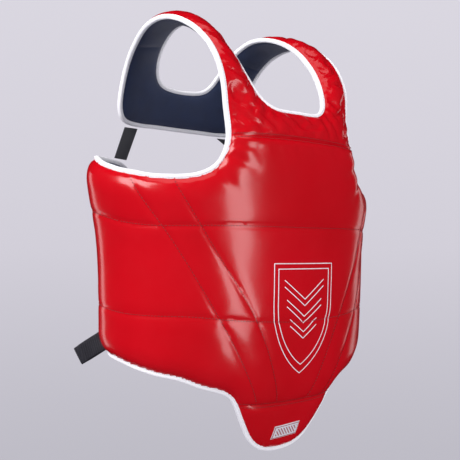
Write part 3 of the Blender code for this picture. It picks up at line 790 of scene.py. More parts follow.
def make_woven(name, dark, light, roughness, threads, sheen=0.3, depth=0.0004):
    """Plain woven cloth, with so many threads to the metre along u and v."""
    finish = Finish(name, light, roughness, Sheen_Weight=sheen, Sheen_Roughness=0.45)
    where = finish.where("UV")
    warp, weft = (finish.wave(where, threads / math.pi, direction) for direction in "XY")
    over = finish.math("MULTIPLY", warp, weft)
    under = finish.math("MULTIPLY", finish.math("SUBTRACT", 1.0, warp), finish.math("SUBTRACT", 1.0, weft))
    weave = finish.math("MAXIMUM", over, under)
    mottled = finish.noise(finish.where(), 60, 5)
    finish.tint(finish.mix(weave, mottled, 0.55), dark, light, 0.2, 0.8)
    finish.rough(mottled, roughness - 0.07, roughness + 0.07)
    finish.bump((weave, 0.6, depth), (mottled, 0.15, 0.0006))


def make_webbing(name, dark, light):
    """Nylon webbing: slanted ribs across the band and long rows along it."""
    finish = Finish(name, light, 0.55, Sheen_Weight=0.35, Sheen_Roughness=0.35)
    where = finish.where("UV")
    ribs = finish.wave(where, 520 / math.pi, "DIAGONAL")
    rows = finish.wave(where, 210, "Y")
    mottled = finish.noise(finish.where(), 90, 4)
    weave = finish.math("MULTIPLY", ribs, finish.math("ADD", finish.math("MULTIPLY", rows, 0.6), 0.4))
    finish.tint(finish.mix(weave, mottled, 0.6), dark, light, 0.15, 0.75)
    finish.rough(mottled, 0.48, 0.66)
    finish.bump((weave, 0.7, 0.0005), (mottled, 0.12, 0.0005))


def make_fuzzy(name, dark, light, scale):
    """Hook and loop tape: a dense field of tiny loops or hooks."""
    finish = Finish(name, light, 0.9, Sheen_Weight=0.12, Sheen_Roughness=0.6)
    where = finish.where()
    fuzz = finish.noise(where, scale * 1.7, 4)
    finish.tint(fuzz, dark, light)
    finish.bump((finish.cells(where, scale), 0.9, 0.0008), (fuzz, 0.6, 0.0006))


def make_foam():
    """Closed-cell foam."""
    finish = Finish("foam", (0.80, 0.76, 0.68), 0.9)
    where = finish.where()
    finish.tint(finish.noise(where, 40, 4), (0.72, 0.68, 0.58), (0.85, 0.82, 0.75))
    finish.bump((finish.cells(where, 700), 0.5, 0.0006))


def make_white_print():
    """White screen print, slightly worn."""
    finish = Finish("white_print", (0.80, 0.80, 0.84), 0.42)
    where = finish.where()
    worn = finish.noise(where, 420, 4, 0.7)
    finish.tint(worn, (0.62, 0.60, 0.66), (0.84, 0.84, 0.88), 0.30, 0.48)
    finish.rough(worn, 0.36, 0.52)
    finish.bump((finish.noise(where, 1800), 0.15, 0.0002))


make_red_leather()
make_thread_finish("red_thread", 0.60, 0.1, 900,
                   (0.24, 0.003, 0.008), (0.18, 0.002, 0.005), (0.28, 0.005, 0.010))
make_white_tape()
make_thread_finish("white_thread", 0.55, 0.2, 800,
                   (0.80, 0.80, 0.83), (0.66, 0.66, 0.70), (0.88, 0.88, 0.90))
make_woven("navy_lining", (0.008, 0.014, 0.045), (0.024, 0.045, 0.125), 0.78, 900)
make_webbing("black_webbing", (0.006, 0.006, 0.010), (0.026, 0.024, 0.036))
make_webbing("black_thread", (0.012, 0.012, 0.016), (0.050, 0.048, 0.058))
make_fuzzy("hook_tape", (0.004, 0.004, 0.005), (0.020, 0.020, 0.023), 900)
make_fuzzy("loop_tape", (0.006, 0.006, 0.008), (0.032, 0.031, 0.036), 560)
make_foam()
make_white_print()
make_woven("label_white", (0.62, 0.60, 0.64), (0.84, 0.83, 0.86), 0.62, 1500, 0.2, 0.0003)
make_woven("label_red", (0.26, 0.006, 0.012), (0.44, 0.012, 0.022), 0.62, 1500, 0.2, 0.0003)


# ---- Building pieces ----

def new_piece(name, finishes, places, faces, normals=None, uvs=None, slots=None):
    """An object from corners and faces. normals and uvs are one for each corner, slots one for each face."""
    mesh = bpy.data.meshes.new(name)
    mesh.from_pydata(np.asarray(places, float).tolist(), [], [list(map(int, face)) for face in faces])
    for finish in finishes:
        mesh.materials.append(FINISHES[finish])
    if slots is not None:
        mesh.polygons.foreach_set("material_index", np.asarray(slots, np.int32))
    if uvs is not None:
        layer = mesh.uv_layers.new(name="pattern")
        corners = np.zeros(len(mesh.loops), np.int32)
        mesh.loops.foreach_get("vertex_index", corners)
        layer.data.foreach_set("uv", np.asarray(uvs, np.float32)[corners].ravel())
    mesh.shade_smooth()
    if normals is not None:
        mesh.normals_split_custom_set_from_vertices(np.asarray(normals, float).tolist())
    return new_object(name, mesh)


def shell(name, finish, picked, high, low, high_normals, low_normals):
    """A closed layer over the picked triangles, between the high and the low surface."""
    used, inverse = np.unique(TRIANGLES[picked], return_inverse=True)
    triangles = inverse.reshape(-1, 3)
    count = len(used)
    edges = np.concatenate([triangles[:, [0, 1]], triangles[:, [1, 2]], triangles[:, [2, 0]]]).tolist()
    known = set(map(tuple, edges))
    rim = [(a, b) for a, b in edges if (b, a) not in known]
    faces = triangles.tolist() + (triangles[:, ::-1] + count).tolist()
    faces += [(b, a, a + count, b + count) for a, b in rim]
    places = np.concatenate([high[used], low[used]])
    normals = np.concatenate([high_normals[used], low_normals[used]])
    return new_piece(name, [finish], places, faces, normals, np.tile(PATTERN[used], (2, 1)))


WING_HINGE = (0.2, 0.0, 0.24)


def follow(item, panel):
    """Ties a piece to the vest_shell body; a wing or flap piece only has its placement baked into its mesh.
    """
    if panel in ("left_wing", "right_wing"):
        x, y, z = WING_HINGE
        x = x if panel == "left_wing" else -x
        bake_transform(item)
    elif panel == "flap":
        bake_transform(item)
    else:
        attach(item, "vest_shell")


CENTRE_U = PATTERN[TRIANGLES].mean(axis=1)[:, 0]
REGIONS = {
    "front": (PANEL_OF == "front") & (np.abs(CENTRE_U) < SPLIT),
    "left_wing": (PANEL_OF == "front") & (CENTRE_U > SPLIT),
    "right_wing": (PANEL_OF == "front") & (CENTRE_U < -SPLIT),
    "flap": PANEL_OF == "flap",
    "chest": PANEL_OF == "chest",
    "yoke": PANEL_OF == "yoke",
}


def make_layers():
    """Each panel's leather, foam and lining, from the outside in."""
    under = OUTSIDE - OUT_NORMAL * SKIN
    foam_top = OUTSIDE - OUT_NORMAL * (SKIN + GAP)
    lining_top = LINING - LINING_IN * SKIN
    foam_low = LINING - LINING_IN * (SKIN + GAP)
    layers = [
        ("_leather", "_cover", "red_leather", 0.6, OUTSIDE, under, OUT_NORMAL, -OUT_NORMAL),
        ("_padding", "_foam", "foam", 0.6, foam_top, foam_low, OUT_NORMAL, LINING_IN),
        ("_inner_cloth", "_lining", "navy_lining", 0.3, lining_top, LINING, -LINING_IN, LINING_IN),
    ]
    for panel, picked in REGIONS.items():
        for piece, node, finish, stuffing, *surfaces in layers:
            item = shell(panel + piece, finish, picked, *surfaces)
            nodes = [panel + node]
            if nodes == ["chest_foam"]:
                nodes += ["left_shoulder_foam", "right_shoulder_foam"]
            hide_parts(*nodes)
            follow(item, panel)


# ---- Thread ----

THREAD_SIDES = 5
# Spacing, length and radius of the stitches
QUILT_STITCH = (0.0040, 0.0028, 0.00042)
SEAM_STITCH = (0.0036, 0.0024, 0.00038)
TAPE_STITCH = (0.0036, 0.0024, 0.00034)
BOX_PITCH = 0.0036
BOX_RADIUS = 0.0004
FLAT_LIFT = 0.0003       # how far a stitch's middle stands up from tape or webbing


def stitches(rows, radius, lift):
    """The corners and faces of small raised stitches. rows holds (start, end, normal) of each one."""
    places = []
    faces = []
    for start, end, normal in rows:
        side = np.cross((end - start) / np.linalg.norm(end - start), normal)
        side = side / np.linalg.norm(side)
        first = len(places)
        places.append(start - normal * radius)
        for t, size in ((0.12, 0.75), (0.5, 1.0), (0.88, 0.75)):
            centre = start + (end - start) * t + normal * (lift * math.sin(math.pi * t))
            for k in range(THREAD_SIDES):
                turn = 2 * math.pi * k / THREAD_SIDES
                places.append(centre + (side * math.cos(turn) + normal * math.sin(turn)) * (radius * size))
        last = len(places)
        places.append(end - normal * radius)
        for k in range(THREAD_SIDES):
            following = (k + 1) % THREAD_SIDES
            a, b = first + 1 + k, first + 1 + following
            faces.append((first, b, a))
            for _ in range(2):
                faces.append((a, b, b + THREAD_SIDES, a + THREAD_SIDES))
                a, b = a + THREAD_SIDES, b + THREAD_SIDES
            faces.append((a, b, last))
    return places, faces


def thread_on_skin(name, lines, panel, stitch):
    """Rows of stitches lying on the leather along pattern lines."""
    pitch, length, radius = stitch
    rows = []
    for line in lines:
        lengths = along(line)
        for number in range(int(lengths[-1] / pitch)):
            at = (number + 0.25) * pitch
            ends = look_up([at, at + length], lengths, line)
            (start, normal), (end, _) = (SKIN_TOP.at(*spot, radius * 0.5) for spot in ends)
            rows.append((start, end, normal))
    item = new_piece(name, ["red_thread"], *stitches(rows, radius, radius * 0.9))
    follow(item, panel)


def part_of(line, keep):
    """The longest run of a line's points that keep accepts."""
    flags = [bool(keep(u, v)) for u, v in line]
    best = (0, 0)
    start = None
    for number, flag in enumerate(flags + [False]):
        if flag and start is None:
            start = number
        if not flag and start is not None:
            best = max(best, (start, number), key=lambda run: run[1] - run[0])
            start = None
    return line[best[0]:best[1]]


def off_the_rim(u, v):
    """True where the binding leaves the pattern free."""
    return RIM_TREE.find((abs(u), v, 0))[2] > RIM_FLAT + 0.0005


def on_leather(u, v):
    """True where the pattern has leather, off the rim."""
    hit = SKIN_TOP.tree.find_nearest((u, v, 0.0))[0]
    return off_the_rim(u, v) and math.hypot(hit[0] - u, hit[1] - v) < 1e-4


def make_thread():
    """Quilting and seam stitches, split where the leather is split."""
    quilt = [half for curve in QUILT_CURVES for half in both_sides(resample(curve, 0.001))]
    regions = {
        "front": lambda u, v: abs(u) < SPLIT and off_the_rim(u, v),
        "left_wing": lambda u, v: u > SPLIT and off_the_rim(u, v),
        "right_wing": lambda u, v: u < -SPLIT and off_the_rim(u, v),
    }
    for panel, keep in regions.items():
        thread_on_skin(panel + "_quilting", [part_of(line, keep) for line in quilt], panel, QUILT_STITCH)
    seams = {
        "front": [(CHEST_SEAM - 0.0028, -0.2, 0.2), (FLAP_SEAM + 0.0026, -0.12, 0.12)],
        "chest": [(CHEST_SEAM + 0.0030, -0.2, 0.2)],
        "yoke": [(YOKE_SEAM + 0.0030, 0.0, 0.2), (YOKE_SEAM + 0.0030, -0.2, 0.0)],
        "flap": [(FLAP_SEAM - 0.0026, -0.12, 0.12)],
    }
    for panel, levels in seams.items():
        lines = [resample([(first, level), (last, level)], 0.001) for level, first, last in levels]
        lines = [part_of(line, on_leather) for line in lines]
        thread_on_skin(panel + "_seam_thread", lines, panel, SEAM_STITCH)


# ---- Binding tape ----

TAPE_PROFILE = [(0.0051, 0.0002), (0.0049, 0.0008), (0.0043, 0.0010), (0.0038, 0.0005), (0.0033, 0.0010),
                (0.0022, 0.0012), (0.0011, 0.0011)]
GROOVE = 3               # the point of that profile that the thread lies in
TAPE_NOSE = 0.0015       # how far the fold stands out past the cut edge
NOSE_START = 0.0006
NOSE_RISE = 0.0009
TAPE_SWELL = 0.05        # how unevenly the tape is folded, as a share of its height
TAPE_SWAY = 0.0005
SWELL_SIZE = 0.016
SWAY_SIZE = 0.030


def tape_section():
    """(outer, inner) corners of the folded tape, as (reach inward from the cut edge, height)."""
    inner = RIM_HALF + GAP
    top = [(reach, inner + rise) for reach, rise in TAPE_PROFILE]
    nose = []
    for number in range(1, 8):
        turn = math.pi / 2 - math.pi * number / 8
        nose.append((NOSE_START - TAPE_NOSE * math.cos(turn) ** 0.8, (inner + NOSE_RISE) * math.sin(turn)))
    outer = np.array(top + nose + [(reach, -height) for reach, height in top[::-1]])
    within = np.stack([np.maximum(outer[:, 0], -GAP), np.clip(outer[:, 1], -inner, inner)], axis=-1)
    return outer, within


def tape(part, rows, panel, closed=False):
    """Binding tape carried along edge stations, with slightly uneven folds."""
    name = part + "_tape"
    outer, within = tape_section()
    travelled = along(rows[:, :2])
    seed = sum(map(ord, name)) % 17
    swell = np.array([noise.noise((x / SWELL_SIZE, seed, 0.3)) for x in travelled])
    sway = np.array([noise.noise((x / SWAY_SIZE, seed, 5.3)) for x in travelled])
    fade = ease(np.minimum(travelled, travelled[-1] - travelled), 0, 0.02 if closed else 0.006)
    swell = swell * fade
    sway = sway * fade
    sections = []
    uvs = []
    across = np.concatenate([along(outer), along(outer)[::-1]])
    for number, (reach, height) in enumerate([*outer, *within[::-1]]):
        on_outside = number < len(outer)
        stretch = 1 + (TAPE_SWELL * swell if on_outside else 0)
        shift = TAPE_SWAY * sway * ease(np.array(reach), 0.011, 0.003) if on_outside else 0
        where = rows[:, :2] + rows[:, 2:] * np.reshape(reach + shift, (-1, 1))
        sections.append(place(where[:, 0], where[:, 1], height * stretch - FRONT_HALF))
        uvs.append(np.stack([travelled, np.full(len(rows), across[number])], axis=-1))
    item = swept(name, "white_tape", sections, uvs, closed)
    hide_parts(part + "_binding")
    follow(item, panel)
    tape_thread(name, rows, panel, swell)


def tape_thread(name, rows, panel, swell):
    """The line of white stitches that holds the tape, on its outer and its inner face."""
    pitch, length, radius = TAPE_STITCH
    travelled = along(rows[:, :2])
    reach, rise = TAPE_PROFILE[GROOVE]
    line = rows[:, :2] + rows[:, 2:] * reach
    pieces = []
    for side in (1, -1):
        lift = side * ((RIM_HALF + GAP + rise) * (1 + TAPE_SWELL * swell) + 0.0001) - FRONT_HALF
        middle = place(line[:, 0], line[:, 1], lift)
        normal = outward(line[:, 0], line[:, 1]) * side
        for number in range(int((travelled[-1] - 0.002) / pitch)):
            at = 0.001 + (number + 0.2) * pitch
            start, end = look_up([at, at + length], travelled, middle)
            pieces.append((start, end, look_up(at, travelled, normal)))
    item = new_piece(name + "_thread", ["white_thread"], *stitches(pieces, radius, FLAT_LIFT))
    follow(item, panel)


def swept(name, finish, rails, uvs, closed=False):
    """A solid whose corners run along matching rails, capped at its ends or closed into a ring."""
    sections = np.swapaxes(rails, 0, 1)
    count, corners = sections.shape[:2]
    faces = []
    for i in range(count if closed else count - 1):
        a, b = i * corners, ((i + 1) % count) * corners
        for j in range(corners):
            k = (j + 1) % corners
            faces.append((a + j, b + j, b + k, a + k))
    if not closed:
        last = (count - 1) * corners
        for j in range(corners // 2 - 1):
            quad = (j, j + 1, corners - 2 - j, corners - 1 - j)
            faces += [quad, tuple(last + q for q in quad[::-1])]
    uvs = np.swapaxes(uvs, 0, 1).reshape(-1, 2)
    item = new_piece(name, [finish], sections.reshape(-1, 3), faces, None, uvs)
    face_outward(item)
    item.data.set_sharp_from_angle(angle=math.radians(50))
    return item


def face_outward(item):
    """Turns a closed piece's faces to point out of it."""
    work = bmesh.new()
    work.from_mesh(item.data)
    bmesh.ops.recalc_face_normals(work, faces=work.faces)
    work.to_mesh(item.data)
    work.free()


def make_tapes():
    join = np.concatenate
    neck = NECK.between(0, 2)
    tip = OUTER.between(0, 1)
    bottom = OUTER.between(6, 7)
    tape("neck", join([neck, mirrored(neck)[1:-1]]), "chest", closed=True)
    tape("flap", join([mirrored(tip), tip[1:]]), "flap")
    tape("yoke", join([bottom, mirrored(bottom)[1:]]), "yoke")
    for side, turn in (("left_", np.asarray), ("right_", mirrored)):
        tape(side + "hem", turn(OUTER.between(1, 2)), "front")
        tape(side + "wing", turn(OUTER.between(2, 3)), side + "wing")
        tape(side + "armhole", turn(OUTER.between(3, 6)), "chest")


# ---- Straps ----

def ribbon(name, finish, centre, across, out, width, thick):
    """A flat band with rounded selvedges: centre, across and out are one for each station."""
    width = np.broadcast_to(np.asarray(width, float), (len(centre),))
    x = np.sin(np.linspace(-math.pi / 2, math.pi / 2, 14))
    bulk = np.sqrt(np.clip(1 - np.abs(x) ** 8, 0, 1)) * 0.92 + 0.08
    travelled = along(centre)
    rails = []
    uvs = []
    for a, b in [*zip(x, bulk), *zip(x[::-1], -bulk)]:
        rails.append(centre + across * (a * width / 2)[:, None] + out * (b * thick / 2))
        uvs.append(np.stack([travelled, a * width / 2], axis=-1))
    return swept(name, finish, rails, uvs)


PATCH_MARGIN = 0.0005
HOOK_MARGIN = 0.003
ANCHOR_GAP = 0.0006      # between the anchor and the strap's fold
END_INSET = 0.004        # from the strap's edge to its stitches
ANCHOR_INSET = 0.005


def laid_band(name, finish, stations, inset, middle, thick, node, body):
    """A strap-wide band round the trunk at height middle. Returns its centre, across, out and width."""
    low = np.full(len(stations), STRAP_LOW + inset)
    high = np.full(len(stations), STRAP_HIGH - inset)
    bottom = place(stations, low, middle)
    top = place(stations, high, middle)
    width = np.linalg.norm(top - bottom, axis=1)
    across = (top - bottom) / width[:, None]
    rows = (top + bottom) / 2, across, outward(stations, (low + high) / 2), width
    item = ribbon(name, finish, *rows, thick)
    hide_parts(node)
    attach(item, body)
    return rows


def box_stitch(name, rows, lift, inset, body):
    """Dark stitches round and across a sewn stretch of band, from its centre, across, out and width."""
    travelled = along(rows[0])
    total = travelled[-1]
    table = np.column_stack(rows)

    def spot(s, t):
        """The place at s of the length and t of the half width, with the way out."""
        base, side, up, wide = np.split(look_up(s * total, travelled, table), [3, 6, 9])
        return base + side * (t * (wide / 2 - inset)) + up * lift, up

    low, high = inset / total, 1 - inset / total
    corners = [(low, -1), (high, -1), (high, 1), (low, 1), (low, -1), (high, 1), (low, 1), (high, -1)]
    pieces = []
    for (s1, t1), (s2, t2) in zip(corners, corners[1:]):
        count = max(1, round(np.linalg.norm(spot(s2, t2)[0] - spot(s1, t1)[0]) / BOX_PITCH))
        for number in range(count):
            first, last = (number + 0.15) / count, (number + 0.85) / count
            start, up = spot(s1 + (s2 - s1) * first, t1 + (t2 - t1) * first)
            end, _ = spot(s1 + (s2 - s1) * last, t1 + (t2 - t1) * last)
            pieces.append((start, end, up))
    item = new_piece(name, ["black_thread"], *stitches(pieces, BOX_RADIUS, FLAT_LIFT))
    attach(item, body)


def make_straps():
    """The waist strap with its hook tape, the loop tape that it lands on, and its sewn anchor."""
    hook_base = PATCH_TOP + GAP
    strap_base = hook_base + HOOK_THICK + GAP
    landing = 2 * HALF_GIRTH - np.linspace(HOOK_END, HOOK_START, 24)

    levels = np.linspace(STRAP_LOW + PATCH_MARGIN, STRAP_HIGH - PATCH_MARGIN, 18)
    ring = [(v, PATCH_TOP - PATCH_BASE) for v in levels] + [(v, 0.0001) for v in levels[::-1]]
    rails = [[SKIN_TOP.at(u - 2 * HALF_GIRTH, v, lift)[0] for u in landing] for v, lift in ring]
    patch = swept("loop_tape_patch", "loop_tape", rails, [[(u, v) for u in landing] for v, _ in ring])
    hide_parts("loop_patch")
    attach(patch, "right_wing")

    laid_band("hook_tape_patch", "hook_tape", landing, HOOK_MARGIN, hook_base + HOOK_THICK / 2, HOOK_THICK,
              "hook_patch", "back_strap")

    stations = np.concatenate([np.linspace(STRAP_FOLD, landing[0], 110), landing[1:]])
    middle = strap_base + STRAP_THICK / 2
    rows = laid_band("waist_webbing", "black_webbing", stations, 0.0, middle, STRAP_THICK,
                     "waist_strap", "back_strap")
    end = slice(len(stations) - len(landing) + 1, len(stations) - 1)
    box_stitch("strap_end_stitching", [row[end] for row in rows], STRAP_THICK / 2, END_INSET, "back_strap")

    stations = np.linspace(ANCHOR_START, STRAP_FOLD - ANCHOR_GAP, 20)
    thick = strap_base + STRAP_THICK - PATCH_BASE
    rows = laid_band("anchor_webbing", "black_webbing", stations, 0.0, PATCH_BASE + thick / 2, thick,
                     "strap_anchor", "left_wing")
    box_stitch("anchor_stitching", rows, thick / 2, ANCHOR_INSET, "left_wing")


# The pull loop's two sewn ends under its standing part: (distance round from the middle of the chest, height)
LOOP_LOW_END = [(0.402, 0.0060), (0.394, 0.0060), (0.3865, 0.0065), (0.3820, 0.0085)]
LOOP_HIGH_END = [(0.402, 0.0079), (0.3955, 0.0079), (0.3900, 0.0084), (0.3855, 0.0106)]
LOOP_TURN = (-0.004, 0.010)      # where the webbing turns from lying flat to standing out


def loop_frame():
    """The pull loop's root, with the ways along it, across its width, through its layers and off the wing."""
    root = place(-HOOK_START, LOOP_HEIGHT, LOOP_STANDOFF)
    away = outward(-HOOK_START, LOOP_HEIGHT) * (1, 1, 0)
    away = away / np.linalg.norm(away)
    up = np.array([0.0, 0.0, 1.0])
    length = away * math.cos(LOOP_DROOP) - up * math.sin(LOOP_DROOP)
    width = away * math.sin(LOOP_DROOP) + up * math.cos(LOOP_DROOP)
    return root, length, width, np.cross(length, width), away


def loop_leg(sign, root, length, through):
    """One standing side of the pull loop, from its root towards its tip; the two sides bulge apart."""
    points = []
    for t in np.linspace(0, 1, 9):
        bulge = LOOP_BULGE / 2 * (0.42 + 0.58 * math.sin(math.pi * min(1.0, 0.12 + 0.80 * t)) ** 0.8)
        bulge *= 1 - 0.62 * float(ease(t, 0.7, 1.0))
        reach = 0.002 + t * (LOOP_LENGTH - 0.0035)
        points.append(root + length * reach + through * (sign * (bulge - 0.0008)))
    return points


def make_pull_loop():
    """Webbing sewn flat to the strap's end, that stands out, folds at its tip and comes back."""
    root, length, width, through, away = loop_frame()
    toward_back = surface(-HOOK_START - 0.01, LOOP_HEIGHT) - surface(-HOOK_START, LOOP_HEIGHT)
    side = math.copysign(1.0, float(np.dot(through, toward_back)))
    low_end, high_end = ([place(-u, LOOP_HEIGHT, w) for u, w in row] for row in (LOOP_LOW_END, LOOP_HIGH_END))
    tip = root + length * (LOOP_LENGTH - 0.0008)
    standing = loop_leg(-side, root, length, through) + [tip] + loop_leg(side, root, length, through)[::-1]
    _, centre = smooth_line(low_end + standing + high_end[::-1], 220)
    tangent = np.gradient(centre, axis=0)
    tangent /= np.linalg.norm(tangent, axis=1, keepdims=True)
    turn = ease((centre - root) @ away, *LOOP_TURN)[:, None]
    across = width * turn + np.array([0.0, 0.0, 1.0]) * (1 - turn)
    across -= tangent * (across * tangent).sum(axis=1, keepdims=True)
    across /= np.linalg.norm(across, axis=1, keepdims=True)
    out = np.cross(across, tangent)
    item = ribbon("pull_loop_webbing", "black_webbing", centre, across, out, LOOP_WIDTH, LOOP_WEBBING)
    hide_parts("pull_loop")
    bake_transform(item)


def make_elastics():
    """Ribbed elastic from the yoke's lower edge to the wing's upper edge, on each side."""
    t = np.linspace(0, 1, 60)[:, None]
    reach = ELASTIC_WIDTH / 2
    for name, side in (("left", 1), ("right", -1)):
        ends = []
        for (u, v), turn in ((ELASTIC_YOKE, side), (ELASTIC_WING, -side)):
            corners = [place(side * u + shift, v, -FRONT_HALF) for shift in (-turn * reach, turn * reach)]
            ends.append((*corners, outward(side * u, v)))
        first, last, out = (a * (1 - t) + b * t for a, b in zip(*ends))
        out /= np.linalg.norm(out, axis=1, keepdims=True)
        width = np.linalg.norm(last - first, axis=1)
        across = (last - first) / width[:, None]
        centre = (first + last) / 2
        item = ribbon(name + "_elastic_band", "black_webbing", centre, across, out, width, ELASTIC_THICK)
        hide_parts(name + "_elastic")
        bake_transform(item)


# ---- Emblem and label ----

PRINT_WIDTH = 0.0011
PRINT_LIFT = 0.00022
PRINT_SINK = 0.0002
PRINT_CLEAR = 0.00002
PRINT_STEP = 0.002
PRINT_FLAT = 0.86        # the share of a line's width that is flat
# Half width, top, shoulder and tip of the outer and the inner shield line
SHIELDS = [(0.050, 0.240, 0.190, 0.104), (0.0435, 0.2335, 0.190, 0.1150)]
# Height and half width of each pair of chevron lines
CHEVRONS = [(0.220, 0.034), (0.196, 0.030), (0.172, 0.023)]
CHEVRON_GAP = 0.0080


def shield(half, top, shoulder, tip):
    """The left half of a plain shield outline: a flat top, a straight side and an arc down to the tip."""
    lean = half * 0.9
    last = math.acos(lean / (half + lean))
    curve = [
        ((half + lean) * math.cos(turn) - lean, shoulder - (shoulder - tip) * math.sin(turn) / math.sin(last))
        for turn in np.linspace(0, last, 14)[1:]
    ]
    return [(0.0, top), (half, top), (half, shoulder), *curve]


def split_finely(path):
    """A path's points with more between them, the corners kept."""
    dense = [path[0]]
    for a, b in zip(path, path[1:]):
        count = max(1, round(np.linalg.norm(b - a) / PRINT_STEP))
        dense += [a + (b - a) * (i + 1) / count for i in range(count)]
    return np.array(dense)


def printed(paths):
    """Flat printed lines on the leather. Each path is a row of pattern points; corners are mitred."""
    places = []
    faces = []
    for path, closed in paths:
        dense = split_finely(np.array(path + path[:1] if closed else path))
        steps = np.diff(dense, axis=0)
        steps /= np.linalg.norm(steps, axis=1, keepdims=True)
        before = np.concatenate([steps[-1:] if closed else steps[:1], steps])
        after = np.concatenate([steps, steps[:1] if closed else steps[-1:]])
        middle = before + after
        middle /= np.linalg.norm(middle, axis=1, keepdims=True)
        mitre = 1 / np.maximum((middle * before).sum(axis=1), 0.5)
        sides = np.stack([-middle[:, 1], middle[:, 0]], axis=-1) * (mitre * PRINT_WIDTH / 2)[:, None]
        first = len(places)
        for spot, side in zip(dense, sides):
            for share, lift in ((-1, 0.0), (-PRINT_FLAT, PRINT_LIFT), (PRINT_FLAT, PRINT_LIFT), (1, 0.0)):
                places.append(SKIN_TOP.at(*(spot + side * share), lift + PRINT_CLEAR)[0])
            places.append(SKIN_TOP.at(*spot, -PRINT_SINK)[0])
        last = first + (len(dense) - 1) * 5
        for a in range(first, last, 5):
            for j in range(5):
                k = (j + 1) % 5
                faces.append((a + j, a + k, a + 5 + k, a + 5 + j))
        if not closed:
            faces.append(tuple(first + j for j in range(5)))
            faces.append(tuple(last + j for j in reversed(range(5))))
    return places, faces


def make_emblem():
    """A plain shield outline with chevrons, in white print."""
    paths = []
    for half, top, shoulder, tip in SHIELDS:
        left = shield(half, top, shoulder, tip)
        paths.append((left + [(-u, v) for u, v in left[-2:0:-1]], True))
    for level, half in CHEVRONS:
        for v in (level, level - CHEVRON_GAP):
            paths.append(([(-half, v), (0.0, v - 0.7 * half), (half, v)], False))
    item = new_piece("front_emblem", ["white_print"], *printed(paths))
    face_outward(item)
    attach(item, "vest_shell")


LABEL_SLANT = 0.0018     # how far its upper edge is shifted against its lower one
LABEL_CLIMB = 0.0012     # how far each end is above or below its middle
LABEL_THICK = 0.0011
LABEL_BASE = 0.0004
LABEL_CROWN = 0.0006


def make_label():
    """A woven label: a slanted plate with a red border line and plain bars."""
    columns, rows = 48, 18
    top = []
    normals = []
    faces = []
    slots = []
    for j in range(rows + 1):
        for i in range(columns + 1):
            s, t = 2 * i / columns - 1, j / rows
            u = s * (LABEL_HALF_WIDTH - 0.001) + LABEL_SLANT * (t - 0.5)
            v = LABEL_LOW + (LABEL_HIGH - LABEL_LOW) * t + LABEL_CLIMB * s
            edge = min(1 - abs(s), 2 * min(t, 1 - t))
            spot, normal = SKIN_TOP.at(u, v, LABEL_BASE + LABEL_CROWN * min(1.0, edge * 12))
            top.append(spot)
            normals.append(normal)
    for j in range(rows):
        for i in range(columns):
            a = j * (columns + 1) + i
            faces.append((a, a + 1, a + columns + 2, a + columns + 1))
            border = min(i, columns - 1 - i, j, rows - 1 - j) == 1
            bars = 3 < j < rows - 4 and 4 < i < columns - 5 and (i + j) % 5 < 2
            slots.append(1 if border or bars else 0)
    count = len(top)
    under = np.array(top) - np.array(normals) * LABEL_THICK
    solid = faces + [tuple(q + count for q in face[::-1]) for face in faces]
    ring = list(range(columns + 1))
    ring += [(j + 1) * (columns + 1) - 1 for j in range(1, rows + 1)]
    ring += [rows * (columns + 1) + i for i in reversed(range(columns))]
    ring += [j * (columns + 1) for j in reversed(range(1, rows))]
    solid += [(b, a, a + count, b + count) for a, b in zip(ring, ring[1:] + ring[:1])]
    slots += [0] * (len(solid) - len(slots))
    uvs = [(s * 0.001, t * 0.001) for t in range(rows + 1) for s in range(columns + 1)] * 2
    finishes = ["label_white", "label_red"]
    item = new_piece("flap_woven_label", finishes, [*top, *under], solid, None, uvs, slots)
    item.data.set_sharp_from_angle(angle=math.radians(40))
    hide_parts("flap_label")
    follow(item, "flap")


# ---- Stage ----

BACKDROP_RADIUS = 4.2
BACKDROP_HEIGHT = 5.5
BACKDROP_BEND = 1.6
BACKDROP_TURNS = 72
FLOOR_Z = -0.80
LIT_CENTRE = (0.0, 0.0, 0.27)
# Azimuth, elevation, distance, width, height and radiance of each softbox
SOFTBOXES = {
    "key_softbox": (4, -1, 2.6, 0.72, 1.75, 5.3),
    "side_softbox": (-86, 36, 2.6, 1.5, 1.5, 9.0),
    "rim_softbox": (-160, -4, 2.6, 0.6, 1.8, 1.5),
    "far_softbox": (96, 0, 2.8, 0.5, 1.6, 0.9),
    "top_softbox": (-20, 78, 2.4, 1.6, 1.6, 1.3),
}


def make_glowing_backdrop():
    """Dark matt paper that glows with painted light, paler towards its top."""
    finish = Finish("glowing_backdrop", (0.12, 0.12, 0.125), 0.9, Specular_IOR_Level=0.0, Emission_Strength=1.0)
    split = finish.node("ShaderNodeSeparateXYZ", Vector=finish.where())
    height = finish.node("ShaderNodeMapRange", Value=split.outputs["Z"], From_Min=FLOOR_Z, From_Max=2.2)
    ramp = finish.node("ShaderNodeValToRGB", Fac=height.outputs["Result"])
    # Painted light: the backdrop's glow, dimmer at the floor and paler towards the top, also lights the
    # object
    ramp.color_ramp.elements[0].color = (0.43, 0.42, 0.47, 1)
    ramp.color_ramp.elements[1].color = (0.63, 0.61, 0.67, 1)
    ramp.color_ramp.elements.new(0.36).color = (0.56, 0.54, 0.60, 1)
    finish.feed(finish.shader.inputs["Emission Color"], ramp.outputs["Color"])


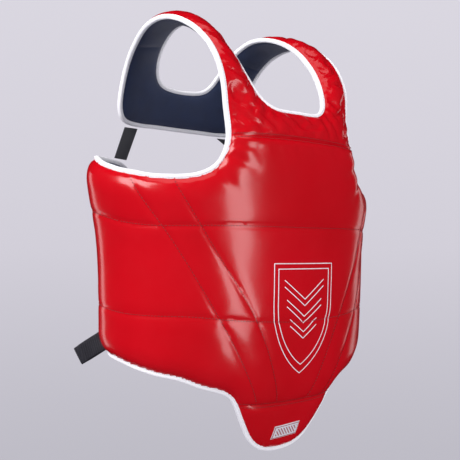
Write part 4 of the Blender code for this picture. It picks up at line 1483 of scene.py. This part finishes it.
def make_stage():
    """A floor that curves up into a round backdrop, pale from its painted glow."""
    flat = BACKDROP_RADIUS - BACKDROP_BEND
    profile = [(flat, FLOOR_Z)]
    for turn in np.linspace(0, math.pi / 2, 13)[1:]:
        rise = BACKDROP_BEND * (1 - math.cos(turn))
        profile.append((flat + BACKDROP_BEND * math.sin(turn), FLOOR_Z + rise))
    profile.append((BACKDROP_RADIUS, BACKDROP_HEIGHT))
    turns = BACKDROP_TURNS
    places = [(0.0, 0.0, FLOOR_Z)]
    for radius, z in profile:
        for k in range(turns):
            angle = 2 * math.pi * k / turns
            places.append((radius * math.cos(angle), radius * math.sin(angle), z))
    faces = [(0, 1 + (k + 1) % turns, 1 + k) for k in range(turns)]
    for base in range(1, 1 + turns * (len(profile) - 1), turns):
        for k in range(turns):
            a, b = base + k, base + (k + 1) % turns
            faces.append((a, b, b + turns, a + turns))
    make_glowing_backdrop()
    item = new_piece("studio_backdrop", ["glowing_backdrop"], places, faces)
    item.visible_glossy = False


def make_lights():
    """Softboxes round the object: azimuth 0 is in front of the chest, positive to the wearer's left."""
    for name, (azimuth, elevation, distance, width, height, radiance) in SOFTBOXES.items():
        data = bpy.data.lights.new(name, "AREA")
        data.shape = "RECTANGLE"
        data.size = width
        data.size_y = height
        data.energy = radiance * math.pi * width * height
        item = new_object(name, data)
        turn, rise = math.radians(azimuth), math.radians(elevation)
        x, y = math.sin(turn) * math.cos(rise), -math.cos(turn) * math.cos(rise)
        direction = Vector((x, y, math.sin(rise)))
        item.location = Vector(LIT_CENTRE) + direction * distance
        item.rotation_euler = direction.to_track_quat("Z", "Y").to_euler()
    world = bpy.data.worlds.new("studio")
    world.use_nodes = True
    world.node_tree.nodes["Background"].inputs["Color"].default_value = (0.010, 0.010, 0.011, 1)
    world.node_tree.nodes["Background"].inputs["Strength"].default_value = 1.0
    bpy.context.scene.world = world
    bpy.context.scene.view_settings.view_transform = "Standard"


def make_camera():
    data = bpy.data.cameras.new("camera")
    data.lens = LENS
    data.shift_x = SHIFT_X
    data.shift_y = SHIFT_Y
    item = new_object("camera", data)
    item.location = (-math.sin(VIEW_TURN) * VIEW_DISTANCE, -math.cos(VIEW_TURN) * VIEW_DISTANCE, EYE_HEIGHT)
    item.rotation_euler = (math.pi / 2, 0, -VIEW_TURN)
    bpy.context.scene.camera = item


make_camera()
make_layers()
make_thread()
make_tapes()
make_straps()
make_pull_loop()
make_elastics()
make_emblem()
make_label()
make_stage()
make_lights()
